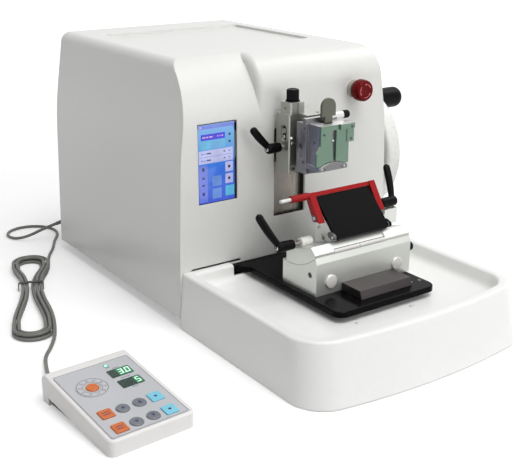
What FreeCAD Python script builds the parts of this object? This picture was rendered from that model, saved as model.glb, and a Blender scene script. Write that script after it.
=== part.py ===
import FreeCAD, Part
import math
import os

os.makedirs("parts", exist_ok=True)

V = FreeCAD.Vector

# Directions of the model: +X to the right of the operator, +Y towards the back, +Z up.
# While the pieces are built, x = 0 is the middle of the instrument and y = 0 lies just
# behind its front panel. Everything moves to the middle of its floor plan at the end.

# Shared clearances and small sizes
overrun = 1.0
seat_gap = 0.3
fit_gap = 0.05
slide_gap = 0.1
panel_gap = 0.3

# Housing
housing_half_width = 170.0
housing_front_y = -3.5
housing_rear_y = 366.0
housing_top = 331.0
housing_bottom = 14.0
cover_wall = 3.0
cover_top_wall = 6.0
shoulder_height = 225.0
shoulder_inset = 7.0
crown_inset = 23.5
shoulder_half_width = housing_half_width - shoulder_inset
crown_half_width = housing_half_width - crown_inset
shoulder_radius = 500.0
crown_radius = 15.0
front_curve_radius = 41.0
screen_side_curve_radius = 100.0
screen_side_curve_drop = 86.0
step_x = -48.0
cover_edge_radius = 7.0
step_edge_radius = 8.0
recess_left_margin = 34.5
recess_right_margin = 32.5
recess_left = crown_half_width - recess_left_margin
recess_right = crown_half_width - recess_right_margin
recess_front_y = 105.0
recess_rear_margin = 72.0
recess_rear_y = housing_rear_y - recess_rear_margin
recess_depth = 3.0
recess_corner_radius = 8.0
slit_margin = 19.0
slit_outer_x = slit_margin - housing_half_width
slit_inner_x = -77.0
slit_bottom = 72.6
slit_height = 3.2

# Slot for the specimen head
slot_half_width = 25.0
slot_bottom = 122.0
slot_top = 240.0
slot_corner_radius = 2.0

# Touch screen
screen_centre_x = -110.0
screen_centre_z = 207.5
screen_half_width = 28.0
screen_half_height = 50.0
screen_set_back = 1.0
screen_thickness = 10.0

# Emergency stop
stop_x = 104.6
stop_z = 277.0
stop_collar_radius = 12.0
stop_collar_height = 6.5
stop_body_radius = 10.0
stop_body_length = 24.0
stop_head_radius = 14.5
stop_head_height = 14.0
stop_head_edge = 4.0
stop_stem_radius = 7.0
stop_stem_height = 3.6
stop_travel = 3.0

# Cast base, feet and knife plate
base_side_margin = 20.0
base_front_margin = 11.5
base_rear_margin = 14.0
base_half_width = housing_half_width - base_side_margin
base_front_y = housing_front_y + base_front_margin
base_rear_y = housing_rear_y - base_rear_margin
base_thickness = 12.0
tongue_half_width = 58.0
tongue_front_y = -190.0
tongue_rear_y = 3.5
foot_radius = 14.0
foot_margin = 22.0
foot_x = base_half_width - foot_margin
front_foot_x = 40.0
foot_front_y = -168.0
foot_middle_y = 40.0
foot_rear_margin = 30.0
foot_rear_y = base_rear_y - foot_rear_margin
plate_half_width = 77.0
plate_thickness = 7.0
plate_top = 70.0
plate_front_y = -203.0
plate_rear_y = 3.0
plate_corner_radius = 13.0
plate_flare_half_width = 95.0
plate_flare_depth = 9.0
plate_flare_run = 18.0
plate_edge = 1.0

# Waste tray
tray_rim_height = 74.0
tray_foot_height = 1.0
tray_half_width = housing_half_width
tray_front_reach = 287.0
tray_rim_inset = 6.0
tray_rim_half_width = tray_half_width - tray_rim_inset
tray_rim_front_reach = 272.0
tray_corner_radius = 46.0
tray_bow_degrees = 8.9
tray_rim_width = 11.0
tray_floor_top = 56.0
tray_floor_thickness = 3.0
tray_wall = 3.0
tray_cove = 9.0
tray_rear_rim = 12.0

# Drive
shaft_y = 95.0
shaft_z = 167.0
shaft_radius = 9.0
crank_radius = 35.0
crank_pin_radius = 6.0
crank_pin_height = 194.0
crank_pin_start_x = 42.5
crank_disc_start_x = 46.0
crank_disc_end_x = 58.0
crank_pulley_radius = 50.0
frame_start_x = 62.0
frame_plate_thickness = 10.0
frame_side_margin = 40.0
frame_second_x = housing_half_width - frame_side_margin
frame_rear_y = 260.0
frame_front_y = 60.0
frame_second_rear_y = 130.0
frame_top = 212.0
bearing_radius = 16.0
motor_y = 230.0
motor_z = 110.0
motor_radius = 34.0
motor_length = 60.0
motor_pulley_radius = 15.0
motor_shaft_radius = 5.0
belt_thickness = 1.5
belt_inset = 1.5
wheel_clearance = 12.0
wheel_width = 24.0
wheel_web_inset = 8.0
wheel_web_thickness = 8.0
wheel_hub_start_x = housing_half_width
wheel_start_x = housing_half_width + wheel_clearance
wheel_end_x = wheel_start_x + wheel_width
wheel_radius = 90.0
wheel_rim_thickness = 13.0
wheel_web_start_x = wheel_start_x + wheel_web_inset
wheel_web_end_x = wheel_web_start_x + wheel_web_thickness
wheel_hub_radius = 19.0
wheel_edge = 5.0
grip_y = 70.0
grip_z = 239.0
grip_radius = 15.0
grip_length = 49.0
grip_wall_end = 6.0
grip_pin_radius = 5.0
cover_shaft_hole_radius = 13.0

# Vertical slide and guide rails
slide_front_y = 4.5
slide_plate_thickness = 5.0
slide_plate_half_width = 30.0
stroke_down = 61.0
stroke_up = 6.0
slide_plate_cover = 1.0
slide_plate_reserve = 4.0
slide_plate_bottom = slot_bottom - stroke_up - slide_plate_reserve
slide_plate_top = slot_top + stroke_down + slide_plate_cover
carriage_half_width = 30.7
carriage_rear_y = 60.0
carriage_bottom = 190.0
carriage_top = 262.0
rail_thickness = 8.0
rail_front_y = 14.0
rail_rear_y = 30.0
rail_top = 300.0
yoke_start_x = 34.0
yoke_end_x = 42.0
yoke_front_y = 33.0
yoke_rear_y = 142.0
yoke_half_height = 15.0
yoke_slot_front_y = 50.0
yoke_slot_rear_y = 134.0
yoke_slot_half_height = 6.3

# Feed ram
ram_half_width = 14.0
ram_bottom = 200.0
ram_height = 28.0
ram_rear_y = 75.0

# Specimen head column
column_left_x = -26.0
column_right_x = 22.0
column_front_y = -36.0
column_rear_y = -8.0
column_bottom = 188.0
column_top = 262.0
column_edge = 2.0
column_recess_y = -24.5
column_recess_bottom = 228.0
column_recess_height = 20.0
column_recess_radius = 5.0
column_recess_depth = 2.0
top_block_left_x = -25.0
top_block_size = 22.0
top_block_front_y = -37.5
top_block_height = 15.0
lug_left_x = -8.0
lug_right_x = 12.0
lug_front_y = -50.0
lug_height = 8.0
swivel_pin_x = 2.0
swivel_pin_y = -44.0
swivel_pin_radius = 3.5
top_knob_radius = 8.5
top_knob_height = 15.0
top_knob_stem_radius = 3.0
top_knob_stem_depth = 8.0

# Swivel cradle
cradle_left_x = -15.5
cradle_right_x = 19.5
cradle_front_y = -59.5
cradle_rear_y = -40.5
tilt_y = -54.0
tilt_z = 226.0
tilt_pin_radius = 4.0

# Cassette clamp
clamp_left_x = -22.0
clamp_right_x = 26.0
clamp_side_step = 4.0
clamp_cheek_thickness = 6.0
clamp_block_front_y = -85.0
clamp_block_rear_y = -64.0
clamp_cheek_front_y = -65.0
clamp_cheek_rear_y = -46.0
clamp_bottom_front = 199.5
clamp_cheek_bottom = 193.0
clamp_top = 256.0
clamp_groove_y = -54.6
clamp_groove_half_width = 2.0
clamp_groove_bottom = 212.0
clamp_groove_top = 247.0
clamp_groove_depth = 1.2
clamp_bar_front_y = -64.0
clamp_bar_rear_y = -58.0
clamp_bar_top = 262.0
lip_left_x = -21.6
lip_right_x = 22.7
lip_bottom = 201.0
lip_side_top = 206.0
lip_front_y = -91.0
tilt_boss_left_x = 15.0
tilt_boss_right_x = 37.5
tilt_boss_y = -60.0
tilt_boss_z = 260.0
tilt_shelf_bottom = 255.0
clamp_ear_depth = 12.0
tilt_boss_radius = 5.0
tilt_knob_length = 10.0
tilt_knob_stem_radius = 2.5
tilt_knob_stem_depth = 6.0

# Moving jaw of the clamp
jaw_left_x = -23.4
jaw_right_x = 26.0
jaw_front_y = -88.5
jaw_bottom = 207.0
jaw_top = 256.0
jaw_notch_width = 6.0
jaw_notch_low = 223.3
jaw_notch_high = 231.7
jaw_slot_left_x = -1.4
jaw_slot_right_x = 6.5
jaw_slot_low_left_x = 3.0
jaw_slot_low_right_x = 6.0
jaw_arch_x = 1.0
jaw_arch_half_width = 20.0
jaw_arch_rise = 4.5
jaw_arch_gap = 1.0
jaw_lip_height = 6.5
jaw_lip_left_x = 11.0
jaw_ear_left_x = 22.4
jaw_ear_right_x = 33.2
jaw_ear_height = 23.0
jaw_ear_proud = 1.0

# Jaw lever
jaw_lever_x = 4.0
jaw_lever_front_y = -76.0
jaw_lever_rear_y = -72.0
jaw_lever_head_z = 276.0
jaw_lever_shoulder_z = 264.5
jaw_lever_head_radius = 10.5
jaw_lever_neck_half_width = 5.5
jaw_lever_pivot_z = 241.0
jaw_lever_pin_radius = 3.0
jaw_lever_pin_overhang = 4.0
jaw_lever_foot_drop = 5.0
jaw_lever_slot_front_y = -79.0

# Clamping levers: hub radius, spindle radius and arm sizes
lever_hub_radius = 6.5
lever_spindle_radius = 2.8
lever_arm_root_radius = 4.6
lever_arm_tip_radius = 3.6
lever_arm_inset = 4.0
lever_screw_radius = 2.6
lever_screw_depth = 1.0

# Column lever
column_lever_y = -22.0
column_lever_z = 220.0
column_lever_hub_end_x = -50.0
column_lever_hub_start_x = -30.0
column_lever_tip_x = -72.0
column_lever_tip_z = 249.0

# Knife base
edge_y = -96.5
edge_z = 173.0
knife_left_x = -69.0
knife_right_x = 80.0
knife_front_y = -150.0
knife_rear_y = -84.0
knife_face_top = 110.5
arc_radius = 75.0
arc_front_degrees = 42.5
arc_rear_degrees = 9.5
knife_edge_radius = 2.5
base_plug_radius = 8.5
base_plug_z = 85.5
base_plug_inset = 22.0
base_plug_height = 2.0
base_plug_edge = 0.8
side_hole_y = -137.5
side_hole_z = 94.0
side_hole_radius = 3.5
side_hole_depth = 8.0
base_slide_gap = 0.1
base_knob_y = -142.0
base_knob_z = 100.5
base_knob_radius = 6.0
base_knob_length = 8.0
base_knob_stem_radius = 3.0
base_knob_stem_depth = 8.0
base_knob_edge = 1.5

# Front bar on the plate
bar_left_x = -30.0
bar_right_x = 50.0
bar_front_y = -187.0
bar_top_front_y = -183.5
bar_height = 10.0

# Knife segment
segment_corner_y = -138.5
segment_corner_z = 128.8
segment_face_y = -147.0
segment_face_z = 121.0
segment_top_rear_y = -99.0
segment_top_rear_z = 116.5
segment_rear_y = -91.0
segment_rear_z = 112.0
segment_front_degrees = 42.0
segment_rear_degrees = 4.2
segment_lever_y = -107.0
segment_lever_z = 124.5
segment_boss_left_x = -61.0
segment_boss_right_x = -45.0
segment_boss_radius = 5.5
track_left_x = -40.0
track_right_x = 41.0
track_rise_share = 0.22
track_top_share = 1.4
track_depth = 1.6
track_slit_height = 0.9
track_slit_depth = 3.2
track_mark_x = -0.8
track_mark_half_width = 0.4
track_mark_depth = 0.8
segment_lever_hub_start_x = -71.3
segment_lever_hub_end_x = -96.0
segment_lever_tip_x = -123.0
segment_lever_tip_z = 171.0

# Blade carriage: distances along and off the blade plane, measured from the edge
blade_slope_degrees = 45.0
carriage_left_x = -33.0
carriage_right_x = 50.5
carriage_face_off = -0.3
carriage_face_start = 4.0
carriage_face_end = 55.0
carriage_foot_rear_y = -101.5
carriage_float = 0.3
post_right_x = 84.0
post_front_y = -120.0
post_rear_y = -104.0
post_bottom = 127.0
post_top = 146.0
post_bridge_top = 140.0
blade_depth = 14.0
blade_half_thickness = 0.15
blade_length = 80.0
blade_lever_y = -112.0
blade_lever_z = 153.0
blade_lever_hub_start_x = 62.0
blade_lever_hub_end_x = 86.0
blade_lever_tip_x = 92.0
blade_lever_tip_y = -86.0
blade_lever_tip_z = 194.0
ear_thickness = 3.5
ear_reach = 5.0
ear_radius = 3.4

# Pressure plate
press_plate_start = 1.5
press_plate_end = 61.0
press_plate_back = 0.3
press_plate_front = 4.2
press_plate_corner = 5.0
press_hinge_along = 56.5
press_hinge_off = 2.2
press_pin_radius = 1.2
press_pin_length = 3.0

# Finger guard
guard_left_x = -44.0
guard_right_x = 60.0
guard_arm_thickness = 8.8
guard_arm_half_width = 4.0
guard_eye_radius = 5.0
guard_tip_y = -122.0
guard_tip_z = 148.7
guard_bar_y = -97.8
guard_bar_z = 177.0
guard_bar_half_height = 2.6
guard_handle_end_x = -69.0
guard_handle_radius = 4.3
guard_pin_radius = 2.2
guard_pin_length = 15.0
guard_pin_depth = 5.0

# Rear panel and sockets
rear_panel_margin = 30.0
rear_panel_left_x = rear_panel_margin - housing_half_width
rear_panel_right_x = -30.0
rear_panel_bottom = 22.0
rear_panel_top = 92.0
rear_panel_thickness = 2.0
rear_panel_overlap = 5.0
inlet_x = -58.0
inlet_z = 60.0
inlet_half_width = 15.0
inlet_half_height = 12.0
inlet_depth = 18.0
inlet_wall = 3.0
inlet_floor = 3.0
inlet_pin_height = 7.0
inlet_pin_thickness = 2.0
inlet_pin_width = 4.0
inlet_pin_pitch = 7.0
inlet_pin_rise = 3.0
cable_socket_x = -112.0
cable_socket_z = 42.0
cable_socket_radius = 9.0
cable_socket_length = 5.0

# Handset
handset_corner_x = -375.5
handset_corner_y = -221.3
handset_turn_degrees = 3.2
handset_width = 101.0
handset_depth = 147.0
handset_front_height = 18.0
handset_rear_height = 33.4
handset_underside_front = 8.0
handset_underside_rear = 131.5
handset_underside_rise = 9.0
handset_base_inset = 4.0
handset_base_front = 24.0
handset_corner_radius = 8.0
handset_top_radius = 2.5
handset_rear_radius = 8.0
panel_left = 5.0
panel_right = 95.5
panel_front = 4.0
panel_rear = 130.5
panel_corner_radius = 4.0
panel_set_in = 0.8
panel_proud = 0.3
key_columns = (20.6, 39.8, 59.4, 78.8)
key_rows = (15.8, 43.0)
round_key_place = (32.0, 92.0)
key_dome_radius = 7.3
key_square_half = 7.4
key_square_corner = 1.6
round_key_radius = 7.0
key_ring_radius = 17.5
key_ring_inner_radius = 9.0
key_ring_height = 0.7
key_proud = 1.7
key_dome_rise = 1.3
key_skirt = 2.6
key_hole_gap = 0.25
key_pocket = 3.8
display_places = ((72.0, 103.5), (72.2, 81.0))
display_half_width = 13.2
display_half_height = 7.4
display_thickness = 0.6
display_corner = 1.0

# Cable
cable_radius = 2.35
plug_radius = 8.0
plug_length = 20.0
boot_root_radius = 5.5
boot_tip_radius = 2.9
boot_root = (-112.0, 385.0, 42.0)
boot_tip = (-160.0, 402.0, 26.0)
handset_boot_root = (17.0, 146.6, 17.0)
handset_boot_tip = (19.5, 161.0, 13.5)
arc_reach_share = 0.45

# Hank of the cable: it lies flat, drawn in at its waist
hank_waist_x = -275.0
hank_waist_y = 226.0
hank_turn_degrees = 69.0
hank_top_reach = 113.0
hank_bottom_reach = 172.0
hank_lobe_half_width = 26.0
hank_waist_half_width = 13.5
hank_pitch = 5.6
hank_layer_height = 5.3
hank_rounds_in = 2
hank_start_step = -1
hank_last_step = 33
cable_rest_height = 2.6
tie_width = 6.0
tie_thickness = 1.2
tie_gap = 0.5

# Cable route by hand, from the rear boot to the hank and from the hank to the handset.
# The first and last points of both follow from the boots and the ends of the hank.
rear_route = [
    (-178.0, 408.4, 20.0),
    (-200.0, 417.0, 9.0),
    (-217.0, 432.0, 2.6),
    (-224.0, 454.0, 2.6),
    (-213.0, 474.0, 2.6),
    (-191.0, 483.0, 2.6),
    (-168.0, 477.0, 2.6),
    (-152.0, 459.0, 2.6),
    (-147.0, 435.0, 2.6),
    (-155.0, 411.0, 2.6),
    (-170.0, 390.0, 2.6),
    (-185.0, 359.0, 2.6),
]
front_route = [
    (-327.0, 35.0, 2.6),
    (-343.0, 15.0, 2.6),
    (-353.0, -12.0, 3.8),
]
rear_route_lead = 24.0
front_route_lead = 22.0
handset_lead = 18.0


# Basic shapes

def block(x0, x1, y0, y1, z0, z1):
    return Part.makeBox(x1 - x0, y1 - y0, z1 - z0, V(x0, y0, z0))


def rod_x(y, z, radius, x0, x1):
    return Part.makeCylinder(radius, abs(x1 - x0), V(min(x0, x1), y, z), V(1, 0, 0))


def rod_y(x, z, radius, y0, y1):
    return Part.makeCylinder(radius, abs(y1 - y0), V(x, min(y0, y1), z), V(0, 1, 0))


def rod_z(x, y, radius, z0, z1):
    return Part.makeCylinder(radius, abs(z1 - z0), V(x, y, min(z0, z1)), V(0, 0, 1))


def rod_between(start, end, start_radius, end_radius):
    way = end.sub(start)
    if start_radius == end_radius:
        return Part.makeCylinder(start_radius, way.Length, start, way)
    return Part.makeCone(start_radius, end_radius, way.Length, start, way)


def prism_along_x(points_yz, x0, x1):
    face = Part.Face(Part.makePolygon([V(x0, y, z) for y, z in points_yz + points_yz[:1]]))
    return face.extrude(V(x1 - x0, 0, 0))


def prism_along_y(points_xz, y0, y1):
    face = Part.Face(Part.makePolygon([V(x, y0, z) for x, z in points_xz + points_xz[:1]]))
    return face.extrude(V(0, y1 - y0, 0))


def prism_along_z(points_xy, z0, z1):
    face = Part.Face(Part.makePolygon([V(x, y, z0) for x, y in points_xy + points_xy[:1]]))
    return face.extrude(V(0, 0, z1 - z0))


def runs_along(edge, direction):
    if len(edge.Vertexes) != 2:
        return False
    way = edge.Vertexes[1].Point.sub(edge.Vertexes[0].Point)
    return way.Length > 0 and abs(way.dot(direction)) > way.Length * straight_share


def rounded(shape, radius, wanted):
    edges = [edge for edge in shape.Edges if wanted(edge)]
    return shape.makeFillet(radius, edges)


def rounded_upright(shape, radius, wanted):
    return rounded(shape, radius, lambda e: runs_along(e, V(0, 0, 1)) and wanted(e.CenterOfMass))


def rounded_block(x0, x1, y0, y1, z0, z1, radius, direction):
    body = block(x0, x1, y0, y1, z0, z1)
    return rounded(body, radius, lambda e: runs_along(e, direction))


straight_share = 0.999


# Housing

def side_taper(inset, top_inset):
    low = housing_bottom - overrun
    top = housing_top - top_inset
    right = [
        (housing_half_width - inset, low),
        (shoulder_half_width - inset, shoulder_height),
        (crown_half_width - inset, top),
    ]
    left = [(-x, z) for x, z in reversed(right)]
    body = prism_along_y(right + left, housing_front_y - overrun, housing_rear_y + overrun)
    along = V(0, 1, 0)
    body = rounded(body, shoulder_radius, lambda e: runs_along(e, along)
                   and abs(e.CenterOfMass.z - shoulder_height) < seat_gap)
    return rounded(body, crown_radius - inset, lambda e: runs_along(e, along)
                   and abs(e.CenterOfMass.z - top) < seat_gap)


def front_profile(curve_radius, curve_start, inset, top_inset, x0, x1):
    """Side outline of the cover with one arc from the front panel to the top."""
    front = housing_front_y + inset
    rear = housing_rear_y - inset
    top = housing_top - top_inset
    radius = curve_radius - inset
    centre_y = housing_front_y + curve_radius
    rise = min(top - curve_start, radius)
    end_y = centre_y - math.sqrt(radius ** 2 - rise ** 2)
    half_angle = math.asin(rise / radius) / 2
    middle = V(x0, centre_y - radius * math.cos(half_angle), curve_start + radius * math.sin(half_angle))
    low_front = V(x0, front, housing_bottom - inset)
    arc_start = V(x0, front, curve_start)
    arc_end = V(x0, end_y, curve_start + rise)
    top_front = V(x0, end_y, top)
    top_rear = V(x0, rear, top)
    low_rear = V(x0, rear, housing_bottom - inset)
    edges = [Part.makeLine(low_front, arc_start), Part.Arc(arc_start, middle, arc_end).toShape()]
    corner = arc_end
    if top_front.sub(arc_end).Length > seat_gap:
        edges.append(Part.makeLine(arc_end, top_front))
        corner = top_front
    edges.append(Part.makeLine(corner, top_rear))
    edges.append(Part.makeLine(top_rear, low_rear))
    edges.append(Part.makeLine(low_rear, low_front))
    return Part.Face(Part.Wire(edges)).extrude(V(x1 - x0, 0, 0))


def cover_form(inset, top_inset):
    """Main body of the cover. Its screen side curves back earlier than the rest of the front."""
    wide = housing_half_width + overrun
    main_start = housing_top - front_curve_radius
    screen_start = housing_top - screen_side_curve_drop
    start = step_x + inset
    reach = start + step_edge_radius + overrun
    main = front_profile(front_curve_radius, main_start, inset, top_inset, start, wide)
    main = rounded(main, step_edge_radius, lambda e: abs(e.CenterOfMass.x - start) < seat_gap
                   and e.CenterOfMass.y < housing_rear_y - cover_edge_radius
                   and e.CenterOfMass.z > housing_bottom + overrun)
    screen_side = front_profile(
        screen_side_curve_radius, screen_start, inset, top_inset, -wide, reach)
    return main.fuse(screen_side).common(side_taper(inset, top_inset)).removeSplitter()


def housing_cover():
    outer = cover_form(0, 0)

    body = rounded(outer, cover_edge_radius, lambda e: abs(e.CenterOfMass.y - housing_rear_y) < overrun
                   and e.CenterOfMass.z > housing_bottom + overrun)
    body = body.cut(cover_form(cover_wall, cover_top_wall))
    for cutter in cover_cutters():
        body = body.cut(cutter)
    return body


def cover_cutters():
    front = housing_front_y - overrun
    inside = housing_front_y + cover_wall + overrun
    slot = rounded_block(
        -slot_half_width, slot_half_width, front, inside,
        slot_bottom, slot_top, slot_corner_radius, V(0, 1, 0))
    screen = block(
        screen_centre_x - screen_half_width - panel_gap,
        screen_centre_x + screen_half_width + panel_gap,
        front, inside + screen_thickness,
        screen_centre_z - screen_half_height - panel_gap,
        screen_centre_z + screen_half_height + panel_gap)
    stop = rod_y(stop_x, stop_z, stop_body_radius + panel_gap, front, inside + screen_thickness)
    slit = block(slit_outer_x, slit_inner_x, front, inside, slit_bottom, slit_bottom + slit_height)
    foot = block(
        -plate_flare_half_width - panel_gap, plate_flare_half_width + panel_gap,
        front, inside, housing_bottom - overrun, plate_top + panel_gap)
    shaft = rod_x(shaft_y, shaft_z, cover_shaft_hole_radius, shoulder_half_width - screen_thickness,
                  housing_half_width + overrun)
    recess = rounded_block(
        -recess_left, recess_right, recess_front_y, recess_rear_y,
        housing_top - recess_depth, housing_top + overrun, recess_corner_radius, V(0, 0, 1))
    rear = block(
        rear_panel_left_x + rear_panel_overlap, rear_panel_right_x - rear_panel_overlap,
        housing_rear_y - cover_wall - overrun, housing_rear_y + overrun,
        rear_panel_bottom + rear_panel_overlap, rear_panel_top - rear_panel_overlap)
    return [slot, screen, stop, slit, foot, shaft, recess, rear]


def touch_screen():
    front = housing_front_y + screen_set_back
    return block(
        screen_centre_x - screen_half_width, screen_centre_x + screen_half_width,
        front, front + screen_thickness,
        screen_centre_z - screen_half_height, screen_centre_z + screen_half_height)


def rear_panel():
    return rounded_block(
        rear_panel_left_x, rear_panel_right_x, housing_rear_y, housing_rear_y + rear_panel_thickness,
        rear_panel_bottom, rear_panel_top, rear_panel_overlap, V(0, 1, 0))


def rear_sockets():
    face = housing_rear_y + rear_panel_thickness
    inlet = block(
        inlet_x - inlet_half_width, inlet_x + inlet_half_width, face, face + inlet_depth,
        inlet_z - inlet_half_height, inlet_z + inlet_half_height)
    cavity = block(
        inlet_x - inlet_half_width + inlet_wall, inlet_x + inlet_half_width - inlet_wall,
        face + inlet_floor, face + inlet_depth + overrun,
        inlet_z - inlet_half_height + inlet_wall, inlet_z + inlet_half_height - inlet_wall)
    inlet = inlet.cut(cavity)
    for side, rise in ((-1, 0), (0, 1), (1, 0)):
        x = inlet_x + side * inlet_pin_pitch - inlet_pin_thickness / 2
        z = inlet_z + rise * inlet_pin_rise - inlet_pin_width / 2
        pin = block(
            x, x + inlet_pin_thickness, face + inlet_floor, face + inlet_floor + inlet_pin_height,
            z, z + inlet_pin_width)
        inlet = inlet.fuse(pin)
    ring = rod_y(cable_socket_x, cable_socket_z, cable_socket_radius, face, face + cable_socket_length)
    return Part.makeCompound([inlet, ring])


def stop_collar():
    front = housing_front_y - stop_collar_height
    collar = rod_y(stop_x, stop_z, stop_collar_radius, front, housing_front_y)
    body = rod_y(stop_x, stop_z, stop_body_radius, housing_front_y, housing_front_y + stop_body_length)
    bore = rod_y(stop_x, stop_z, stop_stem_radius + fit_gap, front, front + stop_travel + overrun)
    return collar.fuse(body).cut(bore)


def stop_head():
    collar_front = housing_front_y - stop_collar_height
    back = collar_front - stop_stem_height
    head = rod_y(stop_x, stop_z, stop_head_radius, back - stop_head_height, back)
    front_y = back - stop_head_height
    head = rounded(head, stop_head_edge, lambda e: abs(e.CenterOfMass.y - front_y) < overrun)
    stem = rod_y(stop_x, stop_z, stop_stem_radius, back, collar_front + overrun - seat_gap)
    return head.fuse(stem)


# Base, feet, plate and tray

base_top = housing_bottom + base_thickness
tongue_top = plate_top - plate_thickness


def base_casting():
    floor = block(-base_half_width, base_half_width, base_front_y, base_rear_y, housing_bottom, base_top)
    tongue = block(
        -tongue_half_width, tongue_half_width, tongue_front_y, tongue_rear_y,
        housing_bottom, tongue_top)
    neck = block(
        -tongue_half_width, tongue_half_width, tongue_rear_y - overrun, base_front_y + overrun,
        housing_bottom, base_top)
    return floor.fuse(neck).fuse(tongue).removeSplitter()


def rubber_feet():
    places = [(-foot_x, foot_middle_y), (foot_x, foot_middle_y), (-foot_x, foot_rear_y),
              (foot_x, foot_rear_y), (-front_foot_x, foot_front_y), (front_foot_x, foot_front_y)]
    return Part.makeCompound([rod_z(x, y, foot_radius, 0, housing_bottom) for x, y in places])


def knife_plate():
    right = [
        (plate_half_width, plate_front_y),
        (plate_half_width, plate_rear_y - plate_flare_depth - plate_flare_run),
        (plate_flare_half_width, plate_rear_y - plate_flare_depth),
        (plate_flare_half_width, plate_rear_y),
    ]
    left = [(-x, y) for x, y in reversed(right)]
    plate = prism_along_z(right + left, tongue_top, plate_top)
    plate = rounded_upright(plate, plate_corner_radius, lambda c: c.y < plate_front_y + overrun)
    top_edges = lambda e: abs(e.CenterOfMass.z - plate_top) < seat_gap
    return plate.makeChamfer(plate_edge, [e for e in plate.Edges if top_edges(e)])


def tray_outline(half_width, reach, corner_radius, rear_y, z):
    """Closed outline with straight sides, round corners and a slightly bowed front."""
    bow = math.radians(tray_bow_degrees)
    bow_half_chord = half_width - corner_radius + corner_radius * math.sin(bow)
    bow_radius = bow_half_chord / math.sin(bow)
    corner_y = -reach + corner_radius * math.cos(bow) + bow_radius * (1 - math.cos(bow))
    turn = (math.pi / 2 - bow) / 2

    def corner_point(side, angle):
        x = side * (half_width - corner_radius + corner_radius * math.cos(angle))
        return V(x, corner_y - corner_radius * math.sin(angle), z)

    left_rear = V(-half_width, rear_y, z)
    right_rear = V(half_width, rear_y, z)
    left = [corner_point(-1, step * turn) for step in range(3)]
    right = [corner_point(1, step * turn) for step in range(3)]
    edges = [
        Part.makeLine(left_rear, left[0]),
        Part.Arc(left[0], left[1], left[2]).toShape(),
        Part.Arc(left[2], V(0, -reach, z), right[2]).toShape(),
        Part.Arc(right[2], right[1], right[0]).toShape(),
        Part.makeLine(right[0], right_rear),
        Part.makeLine(right_rear, left_rear),
    ]
    return Part.Wire(edges)


tray_height = tray_rim_height - tray_foot_height
tray_lean = (tray_half_width - tray_rim_half_width) / tray_height
tray_front_lean = (tray_front_reach - tray_rim_front_reach) / tray_height
tray_rear_y = housing_front_y - panel_gap


def tray_section(inset, rear_y, z):
    rise = z - tray_foot_height
    half_width = tray_half_width - tray_lean * rise - inset
    reach = tray_front_reach - tray_front_lean * rise - inset
    return tray_outline(half_width, reach, tray_corner_radius - inset, rear_y, z)


def waste_tray():
    body = Part.makeLoft(
        [tray_section(0, tray_rear_y, tray_foot_height), tray_section(0, tray_rear_y, tray_rim_height)],
        True, True)
    pan = Part.makeLoft(
        [tray_section(tray_rim_width + tray_cove, tray_rear_y - tray_rear_rim, tray_floor_top),
         tray_section(tray_rim_width, tray_rear_y - tray_rear_rim, tray_rim_height + overrun)],
        True, True)
    floor_level = tray_floor_top
    pan = rounded(pan, tray_cove, lambda e: abs(e.CenterOfMass.z - floor_level) < seat_gap)
    under = Part.makeLoft(
        [tray_section(tray_wall, tray_rear_y + overrun, tray_foot_height - overrun),
         tray_section(tray_wall, tray_rear_y + overrun, tray_floor_top - tray_floor_thickness)],
        True, True)
    body = body.cut(pan).cut(under)
    top = tray_rim_height
    body = rounded(body, tray_rim_width / 3, lambda e: abs(e.CenterOfMass.z - top) < seat_gap
                   and e.CenterOfMass.y < tray_rear_y - overrun)
    gap = 2 * slide_gap
    tongue_way = block(
        -tongue_half_width - gap, tongue_half_width + gap, tongue_front_y - gap,
        tray_rear_y + overrun, 0, tray_rim_height + overrun)
    plate_way = block(
        -plate_flare_half_width - overrun, plate_flare_half_width + overrun,
        tray_rear_y - tray_rear_rim - overrun, tray_rear_y + overrun,
        tray_floor_top, tray_rim_height + overrun)
    return body.cut(tongue_way).cut(plate_way)


# Drive

def main_frame():
    plate = block(
        frame_start_x, frame_start_x + frame_plate_thickness, frame_front_y, frame_rear_y,
        base_top, frame_top)
    second = block(
        frame_second_x, frame_second_x + frame_plate_thickness, frame_front_y, frame_second_rear_y,
        base_top, frame_top)
    foot = block(
        frame_start_x, frame_second_x + frame_plate_thickness, frame_front_y, frame_second_rear_y,
        base_top, base_top + frame_plate_thickness)
    frame = plate.fuse(second).fuse(foot)
    bearing_hole = rod_x(shaft_y, shaft_z, bearing_radius, frame_start_x - overrun,
                         frame_second_x + frame_plate_thickness + overrun)
    motor_hole = rod_x(motor_y, motor_z, motor_shaft_radius * 2, frame_start_x - overrun,
                       frame_start_x + frame_plate_thickness + overrun)
    return frame.cut(bearing_hole).cut(motor_hole)


def shaft_bearings():
    rings = []
    for x in (frame_start_x, frame_second_x):
        ring = rod_x(shaft_y, shaft_z, bearing_radius, x, x + frame_plate_thickness)
        bore = rod_x(shaft_y, shaft_z, shaft_radius + fit_gap, x - overrun,
                     x + frame_plate_thickness + overrun)
        rings.append(ring.cut(bore))
    return Part.makeCompound(rings)


def main_shaft():
    return rod_x(shaft_y, shaft_z, shaft_radius, crank_disc_end_x, wheel_end_x - overrun)


def crank_pulley():
    disc = rod_x(shaft_y, shaft_z, crank_pulley_radius, crank_disc_start_x, crank_disc_end_x)
    rise = crank_pin_height - shaft_z
    pin_y = shaft_y - math.sqrt(crank_radius ** 2 - rise ** 2)
    pin = rod_x(pin_y, crank_pin_height, crank_pin_radius, crank_pin_start_x, crank_disc_start_x)
    return disc.fuse(pin)


def motor_pulley():
    pulley = rod_x(motor_y, motor_z, motor_pulley_radius, crank_disc_start_x, crank_disc_end_x)
    shaft = rod_x(motor_y, motor_z, motor_shaft_radius, crank_disc_end_x,
                  frame_start_x + frame_plate_thickness)
    return pulley.fuse(shaft)


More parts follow.
